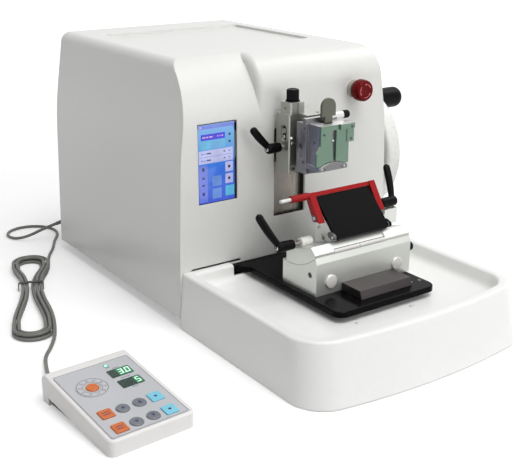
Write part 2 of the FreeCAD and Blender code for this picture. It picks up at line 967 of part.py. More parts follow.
def drive_motor():
    start = frame_start_x + frame_plate_thickness
    can = rod_x(motor_y, motor_z, motor_radius, start, start + motor_length)
    return can.cut(rod_x(motor_y, motor_z, motor_shaft_radius + fit_gap, start - overrun,
                         start + frame_plate_thickness))


def belt_form(gap, x0, x1):
    """Solid round both pulleys, gap further out than their rims."""
    large = crank_pulley_radius + gap
    small = motor_pulley_radius + gap
    way = V(0, motor_y - shaft_y, motor_z - shaft_z)
    lean = math.asin((large - small) / way.Length)
    along = math.atan2(way.z, way.y)
    points = []
    for side in (1, -1):
        angle = along + side * (math.pi / 2 - lean)
        near = (shaft_y + large * math.cos(angle), shaft_z + large * math.sin(angle))
        far = (motor_y + small * math.cos(angle), motor_z + small * math.sin(angle))
        points += [near, far] if side > 0 else [far, near]
    sides = prism_along_x(points, x0, x1)
    ends = rod_x(shaft_y, shaft_z, large, x0, x1).fuse(rod_x(motor_y, motor_z, small, x0, x1))
    return sides.fuse(ends)


def drive_belt():
    x0 = crank_disc_start_x + belt_inset
    x1 = crank_disc_end_x - belt_inset
    outer = belt_form(fit_gap + belt_thickness, x0, x1)
    inner = belt_form(fit_gap, x0 - overrun, x1 + overrun)
    return outer.cut(inner)


def handwheel():
    rim = rod_x(shaft_y, shaft_z, wheel_radius, wheel_start_x, wheel_end_x)
    rim = rounded(rim, wheel_edge, lambda e: not runs_along(e, V(1, 0, 0)))
    inner_radius = wheel_radius - wheel_rim_thickness
    for x0, x1 in ((wheel_start_x - overrun, wheel_web_start_x), (wheel_web_end_x, wheel_end_x + overrun)):
        rim = rim.cut(rod_x(shaft_y, shaft_z, inner_radius, x0, x1))
    hub = rod_x(shaft_y, shaft_z, wheel_hub_radius, wheel_hub_start_x, wheel_end_x)
    boss = rod_x(grip_y, grip_z, grip_radius, wheel_web_start_x, wheel_end_x)
    pin = rod_x(grip_y, grip_z, grip_pin_radius, wheel_end_x,
                wheel_end_x + grip_length - grip_wall_end)
    bore = rod_x(shaft_y, shaft_z, shaft_radius + fit_gap, wheel_hub_start_x - overrun,
                 wheel_end_x - overrun + fit_gap)
    return rim.fuse(hub).fuse(boss).fuse(pin).cut(bore).removeSplitter()


def wheel_grip():
    start = wheel_end_x + seat_gap
    end = wheel_end_x + grip_length + seat_gap
    body = rod_x(grip_y, grip_z, grip_radius, start, end)
    round_end = grip_radius * grip_round_share
    body = rounded(body, round_end, lambda e: abs(e.CenterOfMass.x - end) < overrun
                   and not runs_along(e, V(1, 0, 0)))
    bore = rod_x(grip_y, grip_z, grip_pin_radius + fit_gap, start - overrun,
                 end - grip_wall_end + fit_gap)
    return body.cut(bore)


grip_round_share = 0.8


# Vertical slide and feed

def guide_rails():
    inner = carriage_half_width + panel_gap
    rails = []
    for side in (-1, 1):
        x0 = min(side * inner, side * (inner + rail_thickness))
        rails.append(block(x0, x0 + rail_thickness, rail_front_y, rail_rear_y, base_top, rail_top))
    return Part.makeCompound(rails)


def vertical_slide():
    plate = block(
        -slide_plate_half_width, slide_plate_half_width, slide_front_y,
        slide_front_y + slide_plate_thickness, slide_plate_bottom, slide_plate_top)
    carriage = block(
        -carriage_half_width, carriage_half_width, slide_front_y + slide_plate_thickness,
        carriage_rear_y, carriage_bottom, carriage_top)
    yoke_low = crank_pin_height - yoke_half_height
    yoke_high = crank_pin_height + yoke_half_height
    link = block(carriage_half_width - overrun, yoke_end_x, yoke_front_y, carriage_rear_y,
                 carriage_bottom, yoke_high)
    yoke = block(yoke_start_x, yoke_end_x, yoke_front_y, yoke_rear_y, yoke_low, yoke_high)
    way = block(
        yoke_start_x - overrun, yoke_end_x + overrun, yoke_slot_front_y, yoke_slot_rear_y,
        crank_pin_height - yoke_slot_half_height, crank_pin_height + yoke_slot_half_height)
    ram_way = block(
        -ram_half_width - slide_gap, ram_half_width + slide_gap, slide_front_y - overrun,
        carriage_rear_y + overrun, ram_bottom - slide_gap, ram_bottom + ram_height + slide_gap)
    body = plate.fuse(carriage).fuse(link).fuse(yoke)
    return body.cut(way.common(yoke)).cut(ram_way)


def feed_ram():
    return block(-ram_half_width, ram_half_width, column_rear_y, ram_rear_y,
                 ram_bottom, ram_bottom + ram_height)


# Specimen head

top_block_centre_x = top_block_left_x + top_block_size / 2
top_block_centre_y = top_block_front_y + top_block_size / 2
top_block_top = column_top + top_block_height


def head_column():
    body = block(column_left_x, column_right_x, column_front_y, column_rear_y, column_bottom, column_top)
    body = rounded_upright(body, column_edge, lambda c: True)
    stack = block(
        top_block_left_x, top_block_left_x + top_block_size,
        top_block_front_y, top_block_front_y + top_block_size, column_top, top_block_top)
    stack = rounded_upright(stack, column_edge, lambda c: True)
    stack = stack.cut(rod_z(
        top_block_centre_x, top_block_centre_y, top_knob_stem_radius + fit_gap,
        top_block_top - top_knob_stem_depth - overrun, top_block_top + overrun))
    low_lug = block(lug_left_x, lug_right_x, lug_front_y, column_front_y + overrun,
                    column_bottom, column_bottom + lug_height)
    high_lug = block(lug_left_x, lug_right_x, lug_front_y, column_front_y + overrun,
                     column_top - lug_height, column_top)
    pin = rod_z(swivel_pin_x, swivel_pin_y, swivel_pin_radius, column_bottom, column_top)
    high = column_recess_bottom + column_recess_height
    recess = rounded_block(
        column_left_x - overrun, column_left_x + column_recess_depth,
        column_recess_y - column_recess_radius - overrun, column_recess_y + column_recess_radius + overrun,
        column_recess_bottom, high, column_recess_radius, V(1, 0, 0))
    spindle = rod_x(column_lever_y, column_lever_z, lever_spindle_radius,
                    column_lever_hub_start_x + seat_gap, column_left_x + overrun)
    body = body.cut(recess).fuse(stack).fuse(low_lug).fuse(high_lug).fuse(pin).fuse(spindle)
    return body.removeSplitter()


def top_knob():
    low = top_block_top + seat_gap
    knob = rod_z(top_block_centre_x, top_block_centre_y, top_knob_radius, low, low + top_knob_height)
    knob = rounded(knob, column_edge, lambda e: abs(e.CenterOfMass.z - low - top_knob_height) < overrun
                   and not runs_along(e, V(0, 0, 1)))
    stem = rod_z(top_block_centre_x, top_block_centre_y, top_knob_stem_radius,
                 top_block_top - top_knob_stem_depth, low + overrun)
    return knob.fuse(stem)


def orient_cradle():
    low = column_bottom + lug_height + seat_gap
    high = column_top - lug_height - seat_gap
    body = block(cradle_left_x, cradle_right_x, cradle_front_y, cradle_rear_y, low, high)
    body = body.cut(rod_z(swivel_pin_x, swivel_pin_y, swivel_pin_radius + fit_gap,
                          low - overrun, high + overrun))
    pin = rod_x(tilt_y, tilt_z, tilt_pin_radius, clamp_left_x + clamp_groove_depth, clamp_right_x)
    return body.fuse(pin)


def jaw_arch(gap, x0, x1, y0, y1, bottom):
    """What lies under the arched lower edge of the jaw, as far down as the bottom given."""
    radius = (jaw_arch_half_width ** 2 + jaw_arch_rise ** 2) / (2 * jaw_arch_rise)
    centre_z = jaw_bottom + jaw_arch_rise - radius
    whole = block(x0, x1, y0, y1, bottom, jaw_bottom + jaw_arch_rise + overrun)
    return whole.common(rod_y(jaw_arch_x, centre_z, radius - gap, y0, y1))


def clamp_block():
    outline = [
        (clamp_block_front_y, clamp_bottom_front),
        (clamp_block_front_y, clamp_top),
        (clamp_block_rear_y, clamp_top),
        (clamp_block_rear_y, clamp_cheek_bottom),
    ]
    body = prism_along_x(outline, clamp_left_x + clamp_side_step, clamp_right_x)
    for x in (clamp_left_x, clamp_right_x - clamp_cheek_thickness):
        body = body.fuse(block(
            x, x + clamp_cheek_thickness, clamp_cheek_front_y, clamp_cheek_rear_y,
            clamp_cheek_bottom, clamp_top))
    lip = block(lip_left_x, lip_right_x, lip_front_y, clamp_block_rear_y, lip_bottom, lip_side_top)
    crown = jaw_arch(jaw_arch_gap, lip_left_x, lip_right_x, lip_front_y, clamp_block_rear_y, lip_bottom)
    bar = block(clamp_left_x, tilt_boss_left_x + overrun, clamp_bar_front_y, clamp_bar_rear_y,
                clamp_top - overrun, clamp_bar_top)
    ear = block(clamp_right_x, jaw_ear_right_x, clamp_block_front_y,
                clamp_block_front_y + clamp_ear_depth, jaw_top - jaw_ear_height, clamp_top)
    return body.fuse(lip).fuse(crown).fuse(bar).fuse(ear)


def cassette_clamp():
    body = clamp_block()
    lever_way = block(
        jaw_lever_x - jaw_lever_neck_half_width - overrun,
        jaw_lever_x + jaw_lever_neck_half_width + overrun,
        jaw_lever_slot_front_y, clamp_bar_front_y,
        jaw_lever_pivot_z - jaw_lever_foot_drop - overrun, clamp_top + overrun)
    groove = block(
        clamp_left_x - overrun, clamp_left_x + clamp_groove_depth,
        clamp_groove_y - clamp_groove_half_width, clamp_groove_y + clamp_groove_half_width,
        clamp_groove_bottom, clamp_groove_top)
    boss = rod_x(tilt_boss_y, tilt_boss_z, tilt_boss_radius, tilt_boss_left_x, tilt_boss_right_x)
    shelf = block(tilt_boss_left_x, clamp_right_x, clamp_block_rear_y - overrun, tilt_boss_y,
                  tilt_shelf_bottom, tilt_boss_z)
    stem_bore = rod_x(
        tilt_boss_y, tilt_boss_z, tilt_knob_stem_radius + fit_gap,
        tilt_boss_right_x - tilt_knob_stem_depth - overrun, tilt_boss_right_x + overrun)
    trunnion = rod_x(tilt_y, tilt_z, tilt_pin_radius + fit_gap,
                     clamp_left_x - overrun, clamp_right_x + overrun)
    pin_half = jaw_lever_neck_half_width + jaw_lever_pin_overhang
    pivot = rod_x((jaw_lever_front_y + jaw_lever_rear_y) / 2, jaw_lever_pivot_z,
                  jaw_lever_pin_radius + fit_gap, jaw_lever_x - pin_half - seat_gap,
                  jaw_lever_x + pin_half + seat_gap)
    body = body.fuse(shelf).fuse(boss)
    for cutter in (lever_way, groove, stem_bore, trunnion, pivot):
        body = body.cut(cutter)
    return body.removeSplitter()


def tilt_knob():
    start = tilt_boss_right_x + seat_gap
    knob = rod_x(tilt_boss_y, tilt_boss_z, tilt_boss_radius, start, start + tilt_knob_length)
    knob = rounded(knob, column_edge / 2, lambda e: not runs_along(e, V(1, 0, 0)))
    stem = rod_x(tilt_boss_y, tilt_boss_z, tilt_knob_stem_radius,
                 tilt_boss_right_x - tilt_knob_stem_depth, start + overrun)
    return knob.fuse(stem)


def clamp_jaw():
    back = clamp_block_front_y - slide_gap
    ear_low = jaw_top - jaw_ear_height
    notch_x = jaw_left_x + jaw_notch_width
    plate = prism_along_y([
        (jaw_left_x, jaw_bottom), (jaw_right_x, jaw_bottom), (jaw_right_x, ear_low),
        (jaw_ear_right_x, ear_low), (jaw_ear_right_x, jaw_top), (notch_x, jaw_top),
        (notch_x, jaw_notch_high), (jaw_left_x, jaw_notch_low),
    ], jaw_front_y, back)
    ear = block(jaw_ear_left_x, jaw_ear_right_x, jaw_front_y - jaw_ear_proud, back, ear_low, jaw_top)
    lip = block(jaw_lip_left_x, jaw_ear_right_x, lip_front_y, back, jaw_top - jaw_lip_height, jaw_top)
    low = jaw_bottom - overrun
    slot = prism_along_y([
        (jaw_slot_low_left_x, low), (jaw_slot_low_right_x, low),
        (jaw_slot_right_x, jaw_top - jaw_lip_height), (jaw_slot_left_x, jaw_top - jaw_lip_height),
    ], jaw_front_y - overrun, back + overrun)
    arch = jaw_arch(0, jaw_left_x, jaw_right_x, jaw_front_y - overrun, back + overrun, low)
    return plate.fuse(ear).fuse(lip).cut(slot).cut(arch).removeSplitter()


def clamp_lever():
    neck = block(
        jaw_lever_x - jaw_lever_neck_half_width, jaw_lever_x + jaw_lever_neck_half_width,
        jaw_lever_front_y, jaw_lever_rear_y,
        jaw_lever_pivot_z - jaw_lever_foot_drop, jaw_lever_head_z)
    head = rod_y(jaw_lever_x, jaw_lever_head_z, jaw_lever_head_radius, jaw_lever_front_y, jaw_lever_rear_y)
    head = head.fuse(block(
        jaw_lever_x - jaw_lever_head_radius, jaw_lever_x + jaw_lever_head_radius,
        jaw_lever_front_y, jaw_lever_rear_y, jaw_lever_shoulder_z, jaw_lever_head_z))
    half = jaw_lever_neck_half_width + jaw_lever_pin_overhang
    pin = rod_x((jaw_lever_front_y + jaw_lever_rear_y) / 2, jaw_lever_pivot_z, jaw_lever_pin_radius,
                jaw_lever_x - half, jaw_lever_x + half)
    return neck.fuse(head).fuse(pin).removeSplitter()


def clamping_lever(axis_y, axis_z, hub_start_x, hub_end_x, tip):
    """Hub along X with a tapered arm that rises from its outer end."""
    outward = 1 if hub_end_x > hub_start_x else -1
    hub = rod_x(axis_y, axis_z, lever_hub_radius, hub_start_x, hub_end_x)
    root = V(hub_end_x - outward * lever_arm_inset, axis_y, axis_z)
    arm = rod_between(root, tip, lever_arm_root_radius, lever_arm_tip_radius)
    knob = Part.makeSphere(lever_arm_tip_radius, tip)
    dimple = rod_x(axis_y, axis_z, lever_screw_radius,
                   hub_end_x - outward * lever_screw_depth, hub_end_x + outward * overrun)
    return hub.fuse(arm).fuse(knob).cut(dimple)


def column_lever():
    tip = V(column_lever_tip_x, column_lever_y, column_lever_tip_z)
    return clamping_lever(column_lever_y, column_lever_z, column_lever_hub_start_x,
                          column_lever_hub_end_x, tip)


# Knife holder

def arc_point(radius, degrees):
    """Point (y, z) on a circle round the blade edge; 0 is straight below it, positive is rearward."""
    angle = math.radians(degrees)
    return (edge_y + radius * math.sin(angle), edge_z - radius * math.cos(angle))


def arc_prism(radius, front_degrees, rear_degrees, points_yz, x0, x1):
    """Prism whose outline runs along the arc from rear to front, then through the points."""
    rear = arc_point(radius, rear_degrees)
    low = arc_point(radius, (rear_degrees - front_degrees) / 2)
    front = arc_point(radius, -front_degrees)
    edges = [Part.Arc(V(x0, *rear), V(x0, *low), V(x0, *front)).toShape()]
    chain = [front] + points_yz + [rear]
    for here, there in zip(chain, chain[1:]):
        edges.append(Part.makeLine(V(x0, *here), V(x0, *there)))
    return Part.Face(Part.Wire(edges)).extrude(V(x1 - x0, 0, 0))


def knife_base():
    low = plate_top + base_slide_gap
    points = [(knife_front_y, knife_face_top), (knife_front_y, low), (knife_rear_y, low)]
    body = arc_prism(arc_radius, arc_front_degrees, arc_rear_degrees, points, knife_left_x, knife_right_x)
    body = rounded(body, knife_edge_radius, lambda e: runs_along(e, V(1, 0, 0))
                   and abs(e.CenterOfMass.y - knife_front_y) < seat_gap
                   and e.CenterOfMass.z > base_plug_z)
    hole = rod_x(side_hole_y, side_hole_z, side_hole_radius, knife_left_x - overrun,
                 knife_left_x + side_hole_depth)
    stem_hole = rod_x(base_knob_y, base_knob_z, base_knob_stem_radius + fit_gap,
                      knife_right_x - base_knob_stem_depth - overrun, knife_right_x + overrun)
    return body.cut(hole).cut(stem_hole)


def base_plugs():
    plugs = []
    for x in (knife_left_x + base_plug_inset, knife_right_x - base_plug_inset):
        plug = rod_y(x, base_plug_z, base_plug_radius, knife_front_y - base_plug_height, knife_front_y)
        front = knife_front_y - base_plug_height
        plugs.append(rounded(plug, base_plug_edge, lambda e: abs(e.CenterOfMass.y - front) < seat_gap))
    return Part.makeCompound(plugs)


def base_knob():
    start = knife_right_x + seat_gap
    end = start + base_knob_length
    knob = rod_x(base_knob_y, base_knob_z, base_knob_radius, start, end)
    knob = rounded(knob, base_knob_edge, lambda e: abs(e.CenterOfMass.x - end) < seat_gap
                   and not runs_along(e, V(1, 0, 0)))
    stem = rod_x(base_knob_y, base_knob_z, base_knob_stem_radius,
                 knife_right_x - base_knob_stem_depth, start + overrun)
    return knob.fuse(stem)


def front_bar():
    low = plate_top + base_slide_gap
    points = [(knife_front_y, low), (bar_front_y, low), (bar_top_front_y, low + bar_height),
              (knife_front_y, low + bar_height)]
    return prism_along_x(points, bar_left_x, bar_right_x)


def on_segment_face(rise, depth):
    """Point (y, z), up the sloping front face of the segment and below it by the depth given."""
    way = V(0, segment_corner_y - segment_face_y, segment_corner_z - segment_face_z)
    length = way.Length
    way = way.normalize()
    y = segment_face_y + way.y * rise * length + way.z * depth
    z = segment_face_z + way.z * rise * length - way.y * depth
    return (y, z)


def face_cutter(low_share, high_share, depth, x0, x1):
    corners = [
        on_segment_face(low_share, -overrun), on_segment_face(low_share, depth),
        on_segment_face(high_share, depth), on_segment_face(high_share, -overrun),
    ]
    return prism_along_x(corners, x0, x1)


def track_cutters():
    """Between its raised ends the front face is set back; a slit and a mark lie on the track."""
    face_length = math.hypot(segment_corner_y - segment_face_y, segment_corner_z - segment_face_z)
    slit_share = track_slit_height / face_length
    return [
        face_cutter(track_rise_share, track_top_share, track_depth, track_left_x, track_right_x),
        face_cutter(track_rise_share, track_rise_share + slit_share, track_slit_depth,
                    track_left_x, track_right_x),
        face_cutter(-slit_share, track_rise_share + slit_share, track_mark_depth,
                    track_mark_x - track_mark_half_width, track_mark_x + track_mark_half_width),
    ]


def knife_segment():
    radius = arc_radius - seat_gap
    points = [
        (segment_face_y, segment_face_z),
        (segment_corner_y, segment_corner_z),
        (segment_top_rear_y, segment_top_rear_z),
        (segment_rear_y, segment_rear_z),
    ]
    body = arc_prism(radius, segment_front_degrees, segment_rear_degrees, points,
                     knife_left_x, knife_right_x)
    for cutter in track_cutters():
        body = body.cut(cutter)
    boss = rod_x(segment_lever_y, segment_lever_z, segment_boss_radius,
                 segment_boss_left_x, segment_boss_right_x)
    spindle = rod_x(segment_lever_y, segment_lever_z, lever_spindle_radius,
                    segment_lever_hub_start_x + seat_gap, segment_boss_left_x)
    return body.fuse(boss).fuse(spindle)


def segment_lever():
    tip = V(segment_lever_tip_x, segment_lever_y, segment_lever_tip_z)
    return clamping_lever(segment_lever_y, segment_lever_z, segment_lever_hub_start_x,
                          segment_lever_hub_end_x, tip)


slope = math.radians(blade_slope_degrees)


def on_blade_plane(along, off):
    """Point (y, z), along the plane down from the edge and off it towards the operator."""
    y = edge_y - along * math.cos(slope) - off * math.sin(slope)
    z = edge_z - along * math.sin(slope) + off * math.cos(slope)
    return (y, z)


def segment_top_at(y):
    share = (segment_top_rear_y - y) / (segment_top_rear_y - segment_corner_y)
    return segment_top_rear_z + share * (segment_corner_z - segment_top_rear_z)


def blade_carriage():
    lower = on_blade_plane(carriage_face_end, carriage_face_off)
    points = [
        on_blade_plane(carriage_face_start, carriage_face_off),
        lower,
        (lower[0], segment_top_at(lower[0]) + carriage_float),
        (carriage_foot_rear_y, segment_top_at(carriage_foot_rear_y) + carriage_float),
    ]
    body = prism_along_x(points, carriage_left_x, carriage_right_x)
    bridge = block(carriage_right_x, blade_lever_hub_start_x, post_front_y, post_rear_y,
                   post_bottom, post_bridge_top)
    post = block(blade_lever_hub_start_x, post_right_x, post_front_y, post_rear_y, post_bottom, post_top)
    post = rounded_upright(post, column_edge, lambda c: c.x > post_right_x - overrun)
    left_end = guard_left_x
    spindle = rod_x(blade_lever_y, blade_lever_z, lever_spindle_radius, left_end,
                    blade_lever_hub_start_x - seat_gap)
    body = body.fuse(bridge).fuse(post).fuse(spindle)
    hinge = on_blade_plane(press_hinge_along, press_hinge_off)
    foot = on_blade_plane(press_hinge_along - ear_reach, carriage_face_off)
    for x0, x1, inward in ((carriage_left_x - ear_thickness - slide_gap, carriage_left_x - slide_gap, 1),
                           (carriage_right_x + slide_gap, carriage_right_x + slide_gap + ear_thickness, -1)):
        eye = rod_x(hinge[0], hinge[1], ear_radius, x0, x1)
        web = rod_x(foot[0], foot[1], ear_radius, x0, x1)
        middle = ((hinge[0] + foot[0]) / 2, (hinge[1] + foot[1]) / 2)
        bond = rod_x(middle[0], middle[1], ear_radius, x0, x1)
        tie_start = carriage_left_x if inward > 0 else carriage_right_x
        tie_y, tie_z = on_blade_plane(press_hinge_along - ear_reach, carriage_face_off - ear_radius)
        tie = rod_x(tie_y, tie_z, ear_radius - overrun, tie_start - ear_thickness, tie_start + ear_thickness)
        pin_start = x1 if inward > 0 else x0
        pin = rod_x(hinge[0], hinge[1], press_pin_radius, pin_start, pin_start + inward * press_pin_length)
        body = body.fuse(eye).fuse(web).fuse(bond).fuse(tie).fuse(pin)
    return body.removeSplitter()


def blade():
    centre = (carriage_left_x + carriage_right_x) / 2
    points = [
        on_blade_plane(0, blade_half_thickness),
        on_blade_plane(blade_depth, blade_half_thickness),
        on_blade_plane(blade_depth, -blade_half_thickness),
        on_blade_plane(0, -blade_half_thickness),
    ]
    return prism_along_x(points, centre - blade_length / 2, centre + blade_length / 2)


def pressure_plate():
    points = [
        on_blade_plane(press_plate_start, press_plate_back),
        on_blade_plane(press_plate_start, press_plate_front),
        on_blade_plane(press_plate_end, press_plate_front),
        on_blade_plane(press_plate_end, press_plate_back),
    ]
    body = prism_along_x(points, carriage_left_x, carriage_right_x)
    end_y, end_z = on_blade_plane(press_plate_end, press_plate_front)
    off_plane = V(0, -math.sin(slope), math.cos(slope))
    body = rounded(body, press_plate_corner, lambda e: runs_along(e, off_plane)
                   and e.CenterOfMass.z < (edge_z + end_z) / 2)
    hinge = on_blade_plane(press_hinge_along, press_hinge_off)
    for end, inward in ((carriage_left_x, 1), (carriage_right_x, -1)):
        body = body.cut(rod_x(hinge[0], hinge[1], press_pin_radius + fit_gap, end - inward * overrun,
                              end + inward * press_pin_length))
    return body


def blade_lever():
    tip = V(blade_lever_tip_x, blade_lever_tip_y, blade_lever_tip_z)
    return clamping_lever(blade_lever_y, blade_lever_z, blade_lever_hub_start_x,
                          blade_lever_hub_end_x, tip)


def finger_guard():
    reach = V(0, guard_bar_y - blade_lever_y, guard_bar_z - blade_lever_z)
    side = V(0, -reach.z, reach.y).normalize()
    parts = []
    end = V(reach).multiply(1 + guard_bar_half_height / reach.Length)
    for x0 in (guard_left_x, guard_right_x - guard_arm_thickness):
        eye = rod_x(blade_lever_y, blade_lever_z, guard_eye_radius, x0, x0 + guard_arm_thickness)
        corners = [(guard_tip_y, guard_tip_z)]
        for base, way in ((V(0, 0, 0), -1), (end, -1), (end, 1)):
            place = base + V(side).multiply(way * guard_arm_half_width)
            corners.append((blade_lever_y + place.y, blade_lever_z + place.z))
        parts.append(eye.fuse(prism_along_x(corners, x0, x0 + guard_arm_thickness)))
    bar_low = V(reach).multiply(1 - guard_bar_half_height / reach.Length)
    corners = []
    for base, way in ((bar_low, -1), (end, -1), (end, 1), (bar_low, 1)):
        place = base + V(side).multiply(way * guard_bar_half_height)
        corners.append((blade_lever_y + place.y, blade_lever_z + place.z))
    bar = prism_along_x(corners, guard_left_x, guard_right_x)
    handle = rod_x(guard_bar_y, guard_bar_z, guard_handle_radius, guard_handle_end_x, guard_left_x + overrun)
    body = parts[0].fuse(parts[1]).fuse(bar).fuse(handle)
    body = body.cut(rod_x(blade_lever_y, blade_lever_z, lever_spindle_radius + fit_gap,
                          guard_left_x - overrun, guard_right_x + overrun))
    body = body.cut(rod_x(guard_bar_y, guard_bar_z, guard_pin_radius, guard_handle_end_x - overrun,
                          guard_handle_end_x + guard_pin_depth))
    return body.removeSplitter()


def guard_pin():
    return rod_x(guard_bar_y, guard_bar_z, guard_pin_radius, guard_handle_end_x + guard_pin_depth,
                 guard_handle_end_x - guard_pin_length)


# Handset, built with its front left bottom corner at the origin

panel_slope = math.atan((handset_rear_height - handset_front_height) / handset_depth)


def place_handset(shape):
    placed = shape.copy()
    placed.rotate(V(0, 0, 0), V(0, 0, 1), handset_turn_degrees)
    placed.translate(V(handset_corner_x, handset_corner_y, 0))
    return placed


def on_panel(shape):
    """Moves a shape drawn on a flat sheet onto the sloping top of the handset."""
    placed = shape.copy()
    placed.rotate(V(0, 0, 0), V(1, 0, 0), math.degrees(panel_slope))
    placed.translate(V(0, 0, handset_front_height))
    return place_handset(placed)


def handset_case():
    points = [
        (0, 0),
        (0, handset_front_height),
        (handset_depth, handset_rear_height),
        (handset_depth, 0),
        (handset_underside_rear, 0),
        (handset_underside_rear, handset_underside_rise),
        (handset_underside_front, 0),
    ]
    body = prism_along_x(points, 0, handset_width)
    body = rounded_upright(body, handset_corner_radius, lambda c: c.y < overrun)
    body = rounded(body, handset_rear_radius, lambda e: abs(e.CenterOfMass.z - handset_rear_height) < overrun
                   and e.CenterOfMass.y > handset_depth - overrun)
    body = rounded(body, handset_top_radius, lambda e: e.CenterOfMass.z > handset_front_height - overrun
                   and not runs_along(e, V(0, 0, 1)) and is_top_side(e))
    body = place_handset(body)
    gap = panel_gap
    body = body.cut(on_panel(block(
        panel_left - gap, panel_right + gap, panel_front - gap, panel_rear + gap,
        -panel_set_in, handset_top_radius)))
    for name, place, form in key_list():
        pocket = key_form(form, place, key_hole_gap, -key_pocket, handset_top_radius)
        body = body.cut(on_panel(pocket))
    return body


def is_top_side(edge):
    """Edges of the sloping top, along its front and both sides."""
    middle = edge.CenterOfMass
    at_front = middle.y < handset_corner_radius
    at_side = middle.x < overrun or middle.x > handset_width - overrun
    return at_front or (at_side and middle.y < handset_underside_rear)


def handset_base():
    inset = handset_base_inset
    rise = handset_underside_rise * (handset_base_front - handset_underside_front) / (
        handset_underside_rear - handset_underside_front)
    points = [
        (handset_base_front, 0),
        (handset_base_front, rise),
        (handset_underside_rear, handset_underside_rise),
        (handset_underside_rear, 0),
    ]
    return place_handset(prism_along_x(points, inset, handset_width - inset))


def keypad_panel():
    body = rounded_block(panel_left, panel_right, panel_front, panel_rear, -panel_set_in, panel_proud,
                         panel_corner_radius, V(0, 0, 1))
    x, y = round_key_place
    ring = rod_z(x, y, key_ring_radius, 0, panel_proud + key_ring_height)
    ring = ring.cut(rod_z(x, y, key_ring_inner_radius, panel_proud, panel_proud + key_ring_height))
    body = body.fuse(ring)
    for name, place, form in key_list():
        body = body.cut(key_form(form, place, key_hole_gap, -panel_set_in - overrun,
                                 panel_proud + overrun))
    return on_panel(body)


def key_list():
    """Name, place and form of each key."""
    keys = [("key_stop", round_key_place, "round")]
    forms = ("orange", "dome", "dome", "blue")
    for row, y in enumerate(key_rows):
        for column, x in enumerate(key_columns):
            form = forms[column]
            keys.append(("key_%s_%d%d" % (form, row + 1, column + 1), (x, y), form))
    return keys


def key_form(form, place, gap, z0, z1):
    x, y = place
    if form == "round":
        return rod_z(x, y, round_key_radius + gap, z0, z1)
    if form == "dome":
        return rod_z(x, y, key_dome_radius + gap, z0, z1)
    half = key_square_half + gap
    return rounded_block(x - half, x + half, y - half, y + half, z0, z1, key_square_corner, V(0, 0, 1))


def key_solid(form, place):
    body = key_form(form, place, 0, -key_skirt, key_proud)
    rise = key_dome_rise if form in ("dome", "round") else key_dome_rise / 2
    top = key_proud
    return on_panel(rounded(body, rise, lambda e: abs(e.CenterOfMass.z - top) < seat_gap / 2))


def number_displays():
    windows = []
    for x, y in display_places:
        windows.append(rounded_block(
            x - display_half_width, x + display_half_width, y - display_half_height,
            y + display_half_height, panel_proud, panel_proud + display_thickness,
            display_corner, V(0, 0, 1)))
    return on_panel(Part.makeCompound(windows))


# Cable

def cable_boots():
    face = housing_rear_y + rear_panel_thickness + cable_socket_length
    plug = rod_y(cable_socket_x, cable_socket_z, plug_radius, face, face + plug_length)
    rear = rod_between(V(*boot_root), V(*boot_tip), boot_root_radius, boot_tip_radius)
    front = rod_between(V(*handset_boot_root), V(*handset_boot_tip), boot_root_radius, boot_tip_radius)
    room = block(0, handset_width, handset_depth - handset_corner_radius, handset_depth,
                 0, handset_rear_height)
    return Part.makeCompound([plug.fuse(rear), place_handset(front.cut(room))])


def tangent_arc(start, corner, end):
    """Arc from start to end that touches both legs of the corner between them."""
    middle = start.add(end).multiply(0.5)
    way = middle.sub(corner)
    leg = corner.distanceToPoint(start)
    half_opening = math.acos(min(1, way.Length / leg))
    if way.Length < leg * (1 - straight_arc_share):
        reach = leg / math.cos(half_opening) - leg * math.tan(half_opening)
        crown = corner.add(V(way).normalize().multiply(reach))
        return Part.Arc(start, crown, end).toShape()
    return None


straight_arc_share = 1e-9


def routed_wire(points):
    """Straight runs joined by tangent arcs. Also gives the radius of each arc."""
    edges = []
    radii = []
    here = points[0]
    for before, corner, after in zip(points, points[1:], points[2:]):
        way_in = corner.sub(before)
        way_out = after.sub(corner)
        reach = arc_reach_share * min(way_in.Length, way_out.Length)
        turn = way_in.getAngle(way_out)
        start = corner.sub(V(way_in).normalize().multiply(reach))
        end = corner.add(V(way_out).normalize().multiply(reach))
        edges.append(Part.LineSegment(here, start).toShape())
        edges.append(tangent_arc(start, corner, end))
        radii.append(reach / math.tan(turn / 2))
        here = end
    edges.append(Part.LineSegment(here, points[-1]).toShape())
    return Part.Wire(edges), radii


def tube(wire, radius):
    first = wire.Edges[0]
    start = first.Vertexes[0].Point
    way = first.tangentAt(first.FirstParameter)
    ring = Part.Wire(Part.Edge(Part.Circle(start, way, radius)))
    return wire.makePipeShell([ring], True, False)


hank_turn = math.radians(hank_turn_degrees)
hank_along = V(math.cos(hank_turn), math.sin(hank_turn), 0)
hank_across = V(math.sin(hank_turn), -math.cos(hank_turn), 0)


def hank_place(along, across, height):
    middle = V(hank_waist_x, hank_waist_y, height)
    return middle.add(V(hank_along).multiply(along)).add(V(hank_across).multiply(across))


def hank_station(step):
    """Point and heading at each eighth of a turn, from the right side down and round."""
    rounds = step / 8
    inward = hank_pitch * min(rounds, 2 * hank_rounds_in - rounds)
    climbed = rounds > hank_rounds_in
    height = cable_rest_height + (hank_layer_height if climbed else 0)
    if rounds == hank_rounds_in:
        height = cable_rest_height + hank_layer_height / 2
    waist = hank_waist_half_width - inward
    lobe = hank_lobe_half_width - inward
    top = hank_top_reach - hank_lobe_half_width
    bottom = hank_bottom_reach - hank_lobe_half_width
    down = V(hank_along).negative()
    places = [
        (0, waist, down),
        (-bottom, lobe, down),
        (-bottom - lobe, 0, V(hank_across).negative()),
        (-bottom, -lobe, hank_along),
        (0, -waist, hank_along),
        (top, -lobe, hank_along),
        (top + lobe, 0, hank_across),
        (top, lobe, down),
    ]
    along, across, heading = places[step % 8]
    return hank_place(along, across, height), heading


